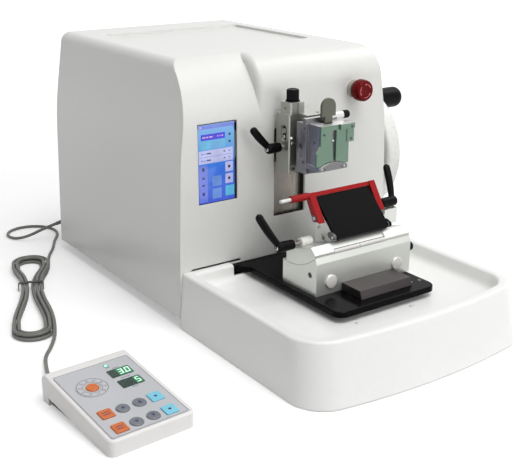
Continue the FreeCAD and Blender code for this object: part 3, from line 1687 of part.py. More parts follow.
def biarc(start, start_way, end, end_way):
    """Two arcs that meet tangentially and keep the headings at both ends."""
    gap = end.sub(start)
    both = start_way.add(end_way)
    spare = 2 * (1 - start_way.dot(end_way))
    if spare > straight_arc_share:
        leg = (math.sqrt(gap.dot(both) ** 2 + spare * gap.dot(gap)) - gap.dot(both)) / spare
    else:
        leg = gap.dot(gap) / (2 * gap.dot(both))
    first = start.add(V(start_way).multiply(leg))
    second = end.sub(V(end_way).multiply(leg))
    middle = first.add(second).multiply(0.5)
    return [tangent_arc(start, first, middle), tangent_arc(middle, second, end)]


def hank_wire():
    stations = [hank_station(step) for step in range(hank_start_step, hank_last_step + 1)]
    first, first_way = stations[0]
    last, last_way = stations[-1]
    lead = 2 * cable_radius
    edges = [Part.LineSegment(first.sub(V(first_way).multiply(lead)), first).toShape()]
    for (start, start_way), (end, end_way) in zip(stations, stations[1:]):
        edges += biarc(start, start_way, end, end_way)
    edges.append(Part.LineSegment(last, last.add(V(last_way).multiply(lead))).toShape())
    return Part.Wire(edges)


def hank_ends():
    first, first_way = hank_station(hank_start_step)
    last, last_way = hank_station(hank_last_step)
    lead = 2 * cable_radius
    return (first.sub(V(first_way).multiply(lead)), first_way,
            last.add(V(last_way).multiply(lead)), last_way)


def rear_points():
    start, start_way = hank_ends()[:2]
    return ([V(*boot_tip)] + [V(*point) for point in rear_route]
            + [start.sub(V(start_way).multiply(rear_route_lead)), start])


def front_points():
    end, end_way = hank_ends()[2:]
    root = place_handset(Part.Vertex(*handset_boot_root)).Point
    tip = place_handset(Part.Vertex(*handset_boot_tip)).Point
    out = tip.sub(root).normalize()
    return ([end, end.add(V(end_way).multiply(front_route_lead))] + [V(*point) for point in front_route]
            + [tip.add(out.multiply(handset_lead)), tip])


def cable_stretch(name, points):
    wire, radii = routed_wire(points)
    body = tube(wire, cable_radius)
    expected = math.pi * cable_radius ** 2 * wire.Length
    print(name, "length %.0f" % wire.Length, "radii", [round(radius, 1) for radius in radii],
          "volume share %.4f" % (body.Volume / expected))
    return body


def hank_gap(wire):
    """Least gap between stretches of the hank that lie more than two diameters apart along it."""
    count = math.ceil(wire.Length / hank_check_step)
    points = wire.discretize(Number=count)
    skip = math.ceil(4 * cable_radius * math.pi / hank_check_step)
    least = min(points[i].distanceToPoint(points[j])
                for i in range(count) for j in range(i + skip, count))
    return least - 2 * cable_radius


hank_check_step = 2.0


def cable_hank():
    wire = hank_wire()
    body = tube(wire, cable_radius)
    expected = math.pi * cable_radius ** 2 * wire.Length
    print("cable_hank", "length %.0f" % wire.Length, "least gap %.2f" % hank_gap(wire),
          "volume share %.4f" % (body.Volume / expected))
    return body


def cable_tie():
    half_width = hank_waist_half_width + cable_radius + tie_gap
    top = cable_rest_height + hank_layer_height + cable_radius + tie_gap
    corner = cable_radius + tie_gap
    outer = rounded_block(
        -tie_width / 2, tie_width / 2, -half_width - tie_thickness, half_width + tie_thickness,
        -top, top + tie_thickness, corner + tie_thickness, V(1, 0, 0))
    inner = rounded_block(
        -tie_width, tie_width, -half_width, half_width, -top, top, corner, V(1, 0, 0))
    below = block(-tie_width, tie_width, -2 * half_width, 2 * half_width, -2 * top, 0)
    band = outer.cut(inner).cut(below)
    band.rotate(V(0, 0, 0), V(0, 0, 1), hank_turn_degrees)
    band.translate(V(hank_waist_x, hank_waist_y, 0))
    return band


def build_all():
    pieces = {
        "base_casting": base_casting(),
        "rubber_feet": rubber_feet(),
        "knife_plate": knife_plate(),
        "waste_tray": waste_tray(),
        "housing_cover": housing_cover(),
        "touch_screen": touch_screen(),
        "rear_panel": rear_panel(),
        "rear_sockets": rear_sockets(),
        "stop_collar": stop_collar(),
        "stop_head": stop_head(),
        "main_frame": main_frame(),
        "shaft_bearings": shaft_bearings(),
        "main_shaft": main_shaft(),
        "crank_pulley": crank_pulley(),
        "motor_pulley": motor_pulley(),
        "drive_motor": drive_motor(),
        "drive_belt": drive_belt(),
        "handwheel": handwheel(),
        "wheel_grip": wheel_grip(),
        "guide_rails": guide_rails(),
        "vertical_slide": vertical_slide(),
        "feed_ram": feed_ram(),
        "head_column": head_column(),
        "top_knob": top_knob(),
        "orient_cradle": orient_cradle(),
        "cassette_clamp": cassette_clamp(),
        "tilt_knob": tilt_knob(),
        "clamp_jaw": clamp_jaw(),
        "clamp_lever": clamp_lever(),
        "column_lever": column_lever(),
        "knife_base": knife_base(),
        "base_plugs": base_plugs(),
        "base_knob": base_knob(),
        "front_bar": front_bar(),
        "knife_segment": knife_segment(),
        "segment_lever": segment_lever(),
        "blade_carriage": blade_carriage(),
        "blade": blade(),
        "pressure_plate": pressure_plate(),
        "blade_lever": blade_lever(),
        "finger_guard": finger_guard(),
        "guard_pin": guard_pin(),
        "handset_case": handset_case(),
        "handset_base": handset_base(),
        "keypad_panel": keypad_panel(),
        "number_displays": number_displays(),
        "cable_boots": cable_boots(),
        "cable_run_rear": cable_stretch("cable_run_rear", rear_points()),
        "cable_hank": cable_hank(),
        "cable_tie": cable_tie(),
        "cable_run_front": cable_stretch("cable_run_front", front_points()),
    }
    for name, place, form in key_list():
        pieces[name] = key_solid(form, place)
    return pieces


cord_pieces = ("cable_boots", "cable_run_rear", "cable_hank", "cable_tie", "cable_run_front")


def floor_middle(pieces):
    """Middle of the floor plan of everything but the cable."""
    box = FreeCAD.BoundBox()
    for name, shape in pieces.items():
        if name not in cord_pieces:
            box.add(shape.optimalBoundingBox(False))
    return V((box.XMin + box.XMax) / 2, (box.YMin + box.YMax) / 2, 0)


pieces = build_all()
to_origin = floor_middle(pieces).negative()
for name, shape in pieces.items():
    placed = shape.copy()
    placed.translate(to_origin)
    placed.exportStep("parts/%s.step" % name)
print("pieces", len(pieces))
print("moved to the origin by", [round(v, 4) for v in to_origin])
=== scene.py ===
import math

import bpy
from mathutils import Matrix, Vector


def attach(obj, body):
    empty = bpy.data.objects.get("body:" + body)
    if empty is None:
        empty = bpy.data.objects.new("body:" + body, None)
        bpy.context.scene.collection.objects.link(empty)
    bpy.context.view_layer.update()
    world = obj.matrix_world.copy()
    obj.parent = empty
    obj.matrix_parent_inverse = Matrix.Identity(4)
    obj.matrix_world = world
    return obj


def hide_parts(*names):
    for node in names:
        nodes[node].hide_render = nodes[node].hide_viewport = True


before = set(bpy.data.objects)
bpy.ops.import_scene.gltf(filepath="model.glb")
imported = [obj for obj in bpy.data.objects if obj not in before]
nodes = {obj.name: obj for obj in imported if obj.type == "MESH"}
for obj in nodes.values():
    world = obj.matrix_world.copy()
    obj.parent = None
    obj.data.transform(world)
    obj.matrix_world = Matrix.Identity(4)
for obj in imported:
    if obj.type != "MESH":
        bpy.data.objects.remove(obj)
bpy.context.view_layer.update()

# The places below are typed in millimetres, with x = 0 at the middle of the instrument,
# y = 0 just behind its front panel and z = 0 on the bench. This moves them to the row frame.
ORIGIN = Vector((64.1351, -49.5, 0.0))


def at(x, y, z):
    return (Vector((x, y, z)) + ORIGIN) / 1000


def new_object(name, data):
    made = bpy.data.objects.new(name, data)
    bpy.context.collection.objects.link(made)
    return made


# Camera, fitted to the lines of the photo

CAMERA_PLACE = (-703.9, -938.5, 503.0)
CAMERA_AZIMUTH, CAMERA_ELEVATION, CAMERA_ROLL = -35.0, 19.4, 0.1
PHOTO_WIDTH_PIXELS = 517
FOCAL_LENGTH_PIXELS = 931.5


def aim_camera():
    azimuth, elevation, roll = map(math.radians, (CAMERA_AZIMUTH, CAMERA_ELEVATION, CAMERA_ROLL))
    back = Vector((math.sin(azimuth) * math.cos(elevation),
                   -math.cos(azimuth) * math.cos(elevation), math.sin(elevation)))
    right = Vector((math.cos(azimuth), math.sin(azimuth), 0))
    up = back.cross(right)
    right, up = (right * math.cos(roll) + up * math.sin(roll),
                 up * math.cos(roll) - right * math.sin(roll))
    data = bpy.data.cameras.new("camera")
    data.sensor_width = 36
    data.lens = FOCAL_LENGTH_PIXELS / PHOTO_WIDTH_PIXELS * data.sensor_width
    data.clip_start = 0.05
    camera = new_object("camera", data)
    turn = Matrix((right, up, back)).transposed().to_4x4()
    camera.matrix_world = Matrix.Translation(at(*CAMERA_PLACE)) @ turn
    bpy.context.scene.camera = camera


aim_camera()


# Cable: one unbroken line from the rear plug through the hank to the handset

HANDSET_CORNER = Vector((-375.5, -221.3, 0))
HANDSET_TURN = math.radians(3.2)
PANEL_DEPTH, PANEL_FRONT_HEIGHT, PANEL_REAR_HEIGHT = 147.0, 18.0, 33.4
PANEL_SLOPE = math.atan((PANEL_REAR_HEIGHT - PANEL_FRONT_HEIGHT) / PANEL_DEPTH)
handset_place = Matrix.Translation(HANDSET_CORNER) @ Matrix.Rotation(HANDSET_TURN, 4, "Z")
panel_front = handset_place @ Matrix.Translation((0, 0, PANEL_FRONT_HEIGHT))
panel_place = panel_front @ Matrix.Rotation(PANEL_SLOPE, 4, "X")

CABLE_RADIUS = 2.35
BENCH_STRAND, UPPER_STRAND = 2.6, 7.9

rear_boot_root = Vector((-112, 385, 42))
rear_boot_tip = Vector((-160, 402, 26))
handset_boot_root = handset_place @ Vector((17, 146.6, 17))
handset_boot_tip = handset_place @ Vector((19.5, 161, 13.5))

rear_route = [
    (-178, 408.4, 20), (-200, 417, 9), (-217, 432, 2.6), (-224, 454, 2.6), (-213, 474, 2.6),
    (-191, 483, 2.6), (-168, 477, 2.6), (-152, 459, 2.6), (-147, 435, 2.6), (-155, 411, 2.6),
    (-170, 390, 2.6), (-185, 359, 2.6),
]
front_route = [(-327, 35, 2.6), (-343, 15, 2.6), (-353, -12, 3.8)]

HANK_CENTRE = (-275, 226)
HANK_TURN = math.radians(69)
HANK_ROUNDS = 4
hank_along = Vector((math.cos(HANK_TURN), math.sin(HANK_TURN), 0))
hank_across = Vector((math.sin(HANK_TURN), -math.cos(HANK_TURN), 0))


def hank_point(along, across, height):
    return Vector((*HANK_CENTRE, height)) + hank_along * along + hank_across * across


def hank_height(rounds):
    """Height of the strand: the later rounds lie on the first two."""
    if rounds < 1.88:
        return BENCH_STRAND
    return UPPER_STRAND if rounds > 2.12 else (BENCH_STRAND + UPPER_STRAND) / 2


def hank_points():
    """Control points of the hank's rounds, drawn in at its waist, with a round lobe at each end."""
    top, bottom, lobe, waist, pitch = 87.0, -146.0, 26.0, 13.5, 5.6
    corner = 22.5
    points = []

    def width(rounds, widest):
        return widest - pitch * min(rounds, HANK_ROUNDS - rounds)

    def put(rounds, along, side, widest):
        points.append(hank_point(along, side * width(rounds, widest), hank_height(rounds)))

    def put_lobe(start, base, side):
        """Half a turn about an end of the hank, along four corners of an eight-sided form."""
        shoulder = side * math.tan(math.radians(corner))
        put(start, base - shoulder * width(start, lobe), -side, lobe)
        for i in range(4):
            angle = math.radians(corner + 45 * i)
            rounds = start + 0.25 * (corner + 45 * i) / 180
            reach = side * width(rounds, lobe) / math.cos(math.radians(corner))
            points.append(hank_point(base + reach * math.sin(angle), -reach * math.cos(angle),
                                     hank_height(rounds)))
        end = start + 0.25
        put(end, base - shoulder * width(end, lobe), side, lobe)

    for turn in range(HANK_ROUNDS + 1):
        put(turn + 0.03, -36.8, 1, waist)
        put(turn + 0.095, -109.2, 1, lobe)
        if turn == HANK_ROUNDS:
            break
        put_lobe(turn + 0.125, bottom, -1)
        put(turn + 0.405, -109.2, -1, lobe)
        put(turn + 0.47, -36.8, -1, waist)
        put(turn + 0.53, 22.2, -1, waist)
        put(turn + 0.6, 64.8, -1, lobe)
        put_lobe(turn + 0.625, top, 1)
        put(turn + 0.9, 64.8, 1, lobe)
        put(turn + 0.97, 22.2, 1, waist)
    return points


def lay_cable():
    start = [rear_boot_tip] + [Vector(p) for p in rear_route]
    start += [hank_point(along, across, BENCH_STRAND)
              for along, across in ((115.7, 26.7), (64.8, 26.6), (22.2, 13.7))]
    out = (handset_boot_tip - handset_boot_root).normalized()
    end = [hank_point(-172.7, 26.7, UPPER_STRAND)] + [Vector(p) for p in front_route]
    end += [handset_boot_tip + out * 18, handset_boot_tip]
    points = start + hank_points() + end
    data = bpy.data.curves.new("handset_cable", "CURVE")
    data.dimensions = "3D"
    # The points carry the cable's radius, since Blender grows the box of a curve by it
    data.bevel_depth = 1.0
    data.bevel_resolution = 5
    data.resolution_u = 8
    data.use_fill_caps = True
    line = data.splines.new("NURBS")
    line.points.add(len(points) - 1)
    for held, point in zip(line.points, points):
        held.co = (*((point + ORIGIN) / 1000), 1)
        held.radius = CABLE_RADIUS / 1000
    line.order_u = 3
    line.use_endpoint_u = True
    cable = new_object("handset_cable", data)
    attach(cable, "body")
    return cable


cable = lay_cable()


# Materials

def linear(colour):
    """Linear colour from the display values 0 to 255 that it is seen as."""
    shares = [value / 255 for value in colour]
    return (*[share / 12.92 if share <= 0.04045 else ((share + 0.055) / 1.055) ** 2.4
              for share in shares], 1.0)


def fill(made, values):
    """Sets a node's properties and inputs by name, where _ stands for a blank."""
    for name, value in values.items():
        if hasattr(made, name):
            setattr(made, name, value)
        else:
            made.inputs[name.replace("_", " ")].default_value = value


def node(tree, kind, **values):
    made = tree.nodes.new(kind)
    fill(made, values)
    return made


def join(source, target):
    source.id_data.links.new(source, target)


def new_material(name, **values):
    """Material with the given inputs of its shader; returns its tree and shader too."""
    made = bpy.data.materials.new(name)
    made.use_nodes = True
    shader = made.node_tree.nodes["Principled BSDF"]
    fill(shader, values)
    return made, made.node_tree, shader


def tone_ramp(tree, source, colour, places, shares):
    """Ramp between two tones of one colour, each a share of it."""
    ramp = node(tree, "ShaderNodeValToRGB")
    join(source, ramp.inputs["Fac"])
    for stop, place, share in zip(ramp.color_ramp.elements, places, shares):
        stop.position = place
        stop.color = (*[min(1, c * share) for c in linear(colour)[:3]], 1)
    return ramp.outputs["Color"]


def mixed(tree, share, tint, colour):
    """The tint, turned to another colour by the share."""
    mix = node(tree, "ShaderNodeMix", data_type="RGBA")
    join(share, mix.inputs["Factor"])
    join(tint, mix.inputs[6])
    mix.inputs[7].default_value = linear(colour)
    return mix.outputs[2]


def worn_edges(tree, bevel, fine, amount):
    """Share of wear: high on convex edges, where the softened normal leaves the true one."""
    true = node(tree, "ShaderNodeNewGeometry")
    edge = node(tree, "ShaderNodeVectorMath", operation="DOT_PRODUCT")
    join(bevel.outputs["Normal"], edge.inputs[0])
    join(true.outputs["Normal"], edge.inputs[1])
    mask = node(tree, "ShaderNodeMapRange", From_Min=0.99, From_Max=0.8, To_Max=amount)
    join(edge.outputs["Value"], mask.inputs["Value"])
    broken = node(tree, "ShaderNodeMath", operation="MULTIPLY")
    join(mask.outputs["Result"], broken.inputs[0])
    join(fine.outputs["Fac"], broken.inputs[1])
    return broken.outputs["Value"]


def painted_top_light_share(tree):
    """Share of painted top light: 1 on faces that look up, which take a lighter colour as if lit from above.
    """
    facing = node(tree, "ShaderNodeNewGeometry")
    split = node(tree, "ShaderNodeSeparateXYZ")
    join(facing.outputs["True Normal"], split.inputs["Vector"])
    rise = node(tree, "ShaderNodeMapRange", From_Min=0.5, From_Max=0.9)
    join(split.outputs["Z"], rise.inputs["Value"])
    return rise.outputs["Result"]


def surface(name, colour, rough, metal=0.0, coat=0.0, coat_rough=0.1, tone=0.05, rough_spread=0.06,
            grain=900.0, grain_depth=0.00002, grain_strength=0.3, stretch=(1, 1, 1), soften=0.0004,
            worn=None, worn_amount=0.0, broad=14.0, aniso=0.0, sheen=0.0, specular=0.5, upper=None):
    """Solid material with drifting tone, a fine grain and softened edges, and where asked with worn edges,
    and with painted top light: a lighter colour on its upper faces, as if lit from above."""
    made, tree, shader = new_material(name, Metallic=metal, Coat_Weight=coat, Coat_Roughness=coat_rough,
                                      Anisotropic=aniso, Sheen_Weight=sheen, Specular_IOR_Level=specular)
    place = node(tree, "ShaderNodeTexCoord")
    spread = node(tree, "ShaderNodeMapping", Scale=stretch)
    join(place.outputs["Object"], spread.inputs["Vector"])
    drift = node(tree, "ShaderNodeTexNoise", Scale=broad, Detail=3)
    join(place.outputs["Object"], drift.inputs["Vector"])
    fine = node(tree, "ShaderNodeTexNoise", Scale=grain, Detail=5)
    join(spread.outputs["Vector"], fine.inputs["Vector"])
    both = node(tree, "ShaderNodeMath", operation="ADD")
    join(drift.outputs["Fac"], both.inputs[0])
    join(fine.outputs["Fac"], both.inputs[1])
    scaled = node(tree, "ShaderNodeMath", operation="MULTIPLY")
    scaled.inputs[1].default_value = 0.8
    join(both.outputs["Value"], scaled.inputs[0])
    tint = tone_ramp(tree, scaled.outputs["Value"], colour, (0.6, 1.0), (1 - tone, 1 + tone))
    bevel = node(tree, "ShaderNodeBevel", samples=6, Radius=soften)
    if worn is not None:
        tint = mixed(tree, worn_edges(tree, bevel, fine, worn_amount), tint, worn)
    # Painted top light: faces that look up take the lighter upper colour.
    if upper is not None:
        tint = mixed(tree, painted_top_light_share(tree), tint, upper)
    join(tint, shader.inputs["Base Color"])
    dull = node(tree, "ShaderNodeMapRange", From_Min=0.3, From_Max=0.7,
                To_Min=max(0.02, rough - rough_spread), To_Max=min(1.0, rough + rough_spread))
    join(fine.outputs["Fac"], dull.inputs["Value"])
    join(dull.outputs["Result"], shader.inputs["Roughness"])
    bump = node(tree, "ShaderNodeBump", Strength=grain_strength, Distance=grain_depth)
    join(fine.outputs["Fac"], bump.inputs["Height"])
    join(bevel.outputs["Normal"], bump.inputs["Normal"])
    join(bump.outputs["Normal"], shader.inputs["Normal"])
    return made


def glowing(name, colour, strength):
    """Lit area behind a smooth clear front, a little uneven."""
    made, tree, shader = new_material(name, Base_Color=linear((20, 24, 30)), Roughness=0.12, Coat_Weight=0.4,
                                      Emission_Strength=strength)
    place = node(tree, "ShaderNodeTexCoord")
    drift = node(tree, "ShaderNodeTexNoise", Scale=55)
    join(place.outputs["Object"], drift.inputs["Vector"])
    tint = tone_ramp(tree, drift.outputs["Fac"], colour, (0.35, 0.65), (0.9, 1.08))
    join(tint, shader.inputs["Emission Color"])
    return made


def screen_picture_back():
    """Blue ground of the screen, lighter and greener towards its top."""
    made = glowing("screen_ground", (80, 150, 230), 0.9)
    tree = made.node_tree
    place = node(tree, "ShaderNodeTexCoord")
    split = node(tree, "ShaderNodeSeparateXYZ")
    join(place.outputs["Object"], split.inputs["Vector"])
    rise = node(tree, "ShaderNodeMapRange", From_Min=SCREEN_BOTTOM / 1000,
                From_Max=(SCREEN_BOTTOM + SCREEN_TALL) / 1000)
    join(split.outputs["Z"], rise.inputs["Value"])
    ramp = node(tree, "ShaderNodeValToRGB")
    stops = ramp.color_ramp.elements
    stops[0].color = linear((66, 92, 216))
    stops[1].color = linear((128, 176, 238))
    stops.new(0.45).color = linear((52, 118, 226))
    stops.new(0.8).color = linear((84, 168, 226))
    join(rise.outputs["Result"], ramp.inputs["Fac"])
    join(ramp.outputs["Color"], tree.nodes["Principled BSDF"].inputs["Emission Color"])
    return made


SCREEN_LEFT, SCREEN_BOTTOM, SCREEN_WIDE, SCREEN_TALL = -138.0, 157.5, 56.0, 100.0

shell = surface("white_shell", (226, 226, 223), 0.3, coat=0.12, tone=0.012, rough_spread=0.02, grain=150,
                grain_strength=0.03, soften=0.0022, broad=6)
tray_gloss = surface("tray_gloss", (243, 243, 241), 0.3, coat=0.1, tone=0.012, rough_spread=0.02, grain=150,
                     grain_strength=0.03, soften=0.0022, broad=6)
wheel_white = surface("white_wheel", (228, 228, 225), 0.3, coat=0.1, tone=0.012, grain=150,
                      grain_strength=0.03, soften=0.001)
handset_white = surface("handset_white", (236, 234, 232), 0.42, coat=0.1, tone=0.015, grain=1500,
                        grain_strength=0.25, soften=0.0006)
black_coat = surface("black_coat", (9, 9, 10), 0.38, tone=0.2, grain=1400, grain_depth=0.00003, specular=0.05,
                     grain_strength=0.4, soften=0.0005, worn=(70, 70, 72), worn_amount=0.3)
plate_coat = surface("plate_coat", (10, 10, 12), 0.16, tone=0.2, rough_spread=0.05, grain=500, specular=0.05,
                     grain_strength=0.05, soften=0.0008, worn=(70, 70, 75), worn_amount=0.5, broad=25)
black_plastic = surface("black_plastic", (7, 7, 8), 0.3, tone=0.15, grain=2200, grain_depth=0.00003,
                        grain_strength=0.5, soften=0.0006, worn=(60, 60, 62), worn_amount=0.3, specular=0.09)
black_rubber = surface("black_rubber", (26, 26, 27), 0.75, tone=0.15, grain_depth=0.00005, grain_strength=0.5,
                       soften=0.0008)
sheath = surface("cable_sheath", (112, 113, 108), 0.5, tone=0.08, grain=700, grain_depth=0.00003,
                 grain_strength=0.4, soften=0.0001, broad=40, sheen=0.1)
tie_band = surface("tie_band", (58, 60, 58), 0.8, tone=0.2, grain=3000, grain_depth=0.00008,
                   grain_strength=0.8, soften=0.0003, sheen=0.3)
casting_paint = surface("casting_paint", (150, 152, 152), 0.55, tone=0.06, grain=600, grain_depth=0.00008,
                        grain_strength=0.5, soften=0.001)
steel = surface("ground_steel", (146, 141, 134), 0.3, metal=1.0, tone=0.1, stretch=(1, 1, 0.03),
                rough_spread=0.1, grain_depth=0.00001, aniso=0.5, broad=20)
bright_steel = surface("bright_steel", (205, 205, 203), 0.14, metal=1.0, grain=700, soften=0.0003)
silver = surface("silver_alloy", (212, 214, 209), 0.36, metal=0.75, tone=0.035, grain=2600, rough_spread=0.08,
                 grain_strength=0.5, soften=0.0005, broad=18)
# The upper colours below are painted top light: faces that look up are drawn lighter, as if lit from above.
column_silver = surface("column_silver", (163, 165, 157), 0.36, metal=0.85, tone=0.08, grain=1800,
                        rough_spread=0.08, soften=0.0006, broad=25, upper=(226, 226, 222))
lip_alloy = surface("lip_alloy", (120, 119, 120), 0.36, metal=0.8, tone=0.07, grain=1400,
                    upper=(238, 237, 236))
dark_alloy = surface("dark_alloy", (98, 97, 97), 0.38, metal=0.85, tone=0.1, grain=1200, soften=0.0005)
bar_alloy = surface("bar_alloy", (72, 67, 68), 0.36, metal=0.9, tone=0.1, grain=1500, stretch=(0.03, 1, 1),
                    soften=0.0008, aniso=0.3, upper=(84, 79, 79))
green_alloy = surface("green_alloy", (106, 129, 113), 0.32, metal=0.8, grain=1500, soften=0.0005,
                      upper=(236, 237, 238))
lilac_alloy = surface("lilac_alloy", (136, 135, 139), 0.32, metal=0.85, tone=0.06, grain=1500, soften=0.0007,
                      upper=(240, 238, 239))
olive_alloy = surface("olive_alloy", (94, 96, 85), 0.42, metal=0.6, tone=0.06, grain=1600, soften=0.0006)
red_alloy = surface("red_alloy", (152, 10, 15), 0.36, metal=0.15, tone=0.08, grain=1200, specular=0.25,
                    soften=0.0006, worn=(220, 110, 105), worn_amount=0.35)
red_plastic = surface("red_plastic", (104, 2, 6), 0.12, specular=0.09, tone=0.06, grain=400,
                      grain_strength=0.1, soften=0.0006)
collar_grey = surface("collar_grey", (176, 171, 160), 0.35, metal=0.4)
stop_mark = surface("stop_mark", (202, 96, 100), 0.4, soften=0.0001)
white_mark = surface("white_mark", (225, 222, 220), 0.5, tone=0.03, soften=0.0001)
socket_black = surface("socket_black", (20, 20, 22), 0.5, tone=0.15, grain=1500)
# Near-black painted shade, put into holes, recesses, slits and gaps.
painted_hollow_shade = surface("painted_hollow_shade", (9, 9, 10), 0.8, tone=0.1, grain=1500, soften=0.0001)
foil = surface("keypad_foil", (196, 197, 201), 0.34, tone=0.02, grain=1800, coat=0.2, soften=0.0002, broad=30)
foil_line = surface("foil_line", (96, 100, 112), 0.5, grain=1500, soften=0.0001)
key_orange = surface("key_orange", (212, 108, 38), 0.36, coat=0.2)
key_grey = surface("key_grey", (118, 121, 130), 0.3, tone=0.07, coat=0.3, soften=0.0005)
key_blue = surface("key_blue", (128, 208, 232), 0.34, tone=0.04, coat=0.2)
key_mark = surface("key_mark", (36, 48, 92), 0.5, tone=0.08, soften=0.0001)
display_dark = surface("display_dark", (32, 62, 50), 0.14, tone=0.15, grain=600, coat=0.4, soften=0.0002)
# Painted glow: a green lit field behind the figures stands for the halo of the lit digits.
painted_digit_glow = glowing("painted_digit_glow", (26, 138, 88), 0.95)
digit_lit = glowing("digit_lit", (214, 255, 226), 1.4)
digit_unlit = surface("digit_unlit", (52, 76, 66), 0.3, tone=0.1, soften=0.0001)
led_lit = glowing("led_lit", (150, 255, 205), 1.5)
screen_black = surface("screen_black", (12, 14, 22), 0.1, tone=0.1, grain=600, coat=0.6, coat_rough=0.03)
screen_ground = screen_picture_back()
screen_deep = glowing("screen_deep", (44, 26, 214), 0.9)
screen_pale = glowing("screen_pale", (192, 196, 240), 0.85)
screen_teal = glowing("screen_teal", (92, 186, 226), 0.85)
screen_band = glowing("screen_band", (112, 132, 234), 0.85)
screen_key = glowing("screen_key", (108, 150, 226), 0.85)
screen_mark = glowing("screen_mark", (34, 44, 120), 0.5)
screen_blush = glowing("screen_blush", (222, 180, 224), 0.85)
belt_rubber = surface("belt_rubber", (30, 30, 31), 0.7, tone=0.1, grain=1200, soften=0.0003)

DRESSED = (
    (casting_paint, "base_casting rear_panel main_frame"), (shell, "housing_cover"),
    (tray_gloss, "waste_tray"), (plate_coat, "knife_plate"), (black_rubber, "rubber_feet"),
    (screen_black, "touch_screen"), (socket_black, "rear_sockets"), (collar_grey, "stop_collar"),
    (steel, "shaft_bearings main_shaft guide_rails vertical_slide feed_ram"),
    (silver, "crank_pulley motor_pulley knife_base base_plugs knife_segment blade_carriage"),
    (black_coat, "drive_motor pressure_plate"), (belt_rubber, "drive_belt"),
    (wheel_white, "handwheel guard_pin"), (black_plastic, "wheel_grip base_knob handset_base"),
    (column_silver, "head_column"), (dark_alloy, "orient_cradle"), (lilac_alloy, "cassette_clamp"),
    (green_alloy, "clamp_jaw"), (olive_alloy, "clamp_lever"), (bar_alloy, "front_bar"),
    (bright_steel, "blade"), (red_alloy, "finger_guard"), (handset_white, "handset_case"),
    (foil, "keypad_panel"), (display_dark, "number_displays"), (tie_band, "cable_tie"),
    (key_orange, "key_stop key_orange_11 key_orange_21"),
    (key_grey, "key_dome_12 key_dome_13 key_dome_22 key_dome_23"), (key_blue, "key_blue_14 key_blue_24"),
)
for made, names in DRESSED:
    for name in names.split():
        carried = nodes[name]
        if carried.material_slots:
            for held in carried.material_slots:
                held.material = made
        else:
            carried.data.materials.append(made)


# Mesh making

LEFT, RIGHT, FRONT, REAR, UP = (-1, 0, 0), (1, 0, 0), (0, -1, 0), (0, 1, 0), (0, 0, 1)


class Piece:
    """Collects points in millimetres and faces, then becomes one mesh object."""

    def __init__(self):
        self.points = []
        self.faces = []
        self.marks = []
        self.materials = []

    def material(self, made):
        if made not in self.materials:
            self.materials.append(made)
        return self.materials.index(made)

    def add(self, points, faces, made):
        start = len(self.points)
        index = self.material(made)
        self.points += [Vector(p) for p in points]
        self.faces += [[start + i for i in face] for face in faces]
        self.marks += [index] * len(faces)

    def rings(self, rings, made):
        """Closed skin over rings of equally many points."""
        count = len(rings[0])
        points = [p for ring in rings for p in ring]
        faces = []
        for r in range(len(rings) - 1):
            for i in range(count):
                j = (i + 1) % count
                faces.append([r * count + i, r * count + j, (r + 1) * count + j, (r + 1) * count + i])
        faces.append(list(range(count))[::-1])
        faces.append([(len(rings) - 1) * count + i for i in range(count)])
        self.add(points, faces, made)

    def lathe(self, origin, axis, profile, made, count=40, shape=None):
        """Turned form: the profile gives (distance along the axis, radius)."""
        origin, axis = Vector(origin), Vector(axis).normalized()
        side = axis.orthogonal().normalized()
        other = axis.cross(side)
        rings = []
        for along, radius in profile:
            ring = []
            for i in range(count):
                angle = 2 * math.pi * i / count
                reach = shape(angle, radius, along) if shape else radius
                ring.append(origin + axis * along
                            + (side * math.cos(angle) + other * math.sin(angle)) * max(reach, 0.001))
            rings.append(ring)
        self.rings(rings, made)

    def slab(self, place, outline, low, high, made):
        """Flat form between two levels of a place."""
        self.rings([[place @ Vector((x, y, z)) for x, y in outline] for z in (low, high)], made)

    def tube(self, path, radii, made, count, flat):
        """Tube of changing radius along a list of points, thinner from front to back by a share."""
        path = [Vector(p) for p in path]
        rings = []
        for i, point in enumerate(path):
            way = (path[min(i + 1, len(path) - 1)] - path[max(i - 1, 0)]).normalized()
            other = way.cross(Vector(REAR)).normalized()
            side = other.cross(way).normalized()
            ring = []
            for k in range(count):
                angle = 2 * math.pi * k / count
                ring.append(point + other * math.cos(angle) * radii[i]
                            + side * math.sin(angle) * radii[i] * flat)
            rings.append(ring)
        self.rings(rings, made)

    def screw(self, centre, axis, radius, height, made):
        """Screw head with a chamfered rim and a six-sided hole."""
        hole = radius * 0.5
        six = hexagon(hole)
        profile = [(0, radius), (height * 0.75, radius), (height, radius * 0.86), (height, hole),
                   (height * 0.35, hole)]
        self.lathe(centre, axis, profile, made, count=30,
                   shape=lambda angle, r, along: six(angle) if abs(r - hole) < 1e-6 else r)
        # Painted shade: a near-black floor deep in the six-sided hole.
        floor = [(height * 0.3, hole * 0.99), (height * 0.36, hole * 0.99)]
        self.lathe(centre, axis, floor, painted_hollow_shade, count=30,
                   shape=lambda angle, r, along: six(angle) * 0.99)

    def finish(self, name, body, crease=32, smooth=True):
        mesh = bpy.data.meshes.new(name)
        mesh.from_pydata([(p + ORIGIN) / 1000 for p in self.points], [], self.faces)
        for made in self.materials:
            mesh.materials.append(made)
        mesh.polygons.foreach_set("material_index", self.marks)
        mesh.update()
        if smooth:
            mesh.polygons.foreach_set("use_smooth", [True] * len(mesh.polygons))
            mesh.set_sharp_from_angle(angle=math.radians(crease))
        piece = new_object(name, mesh)
        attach(piece, body)
        return piece


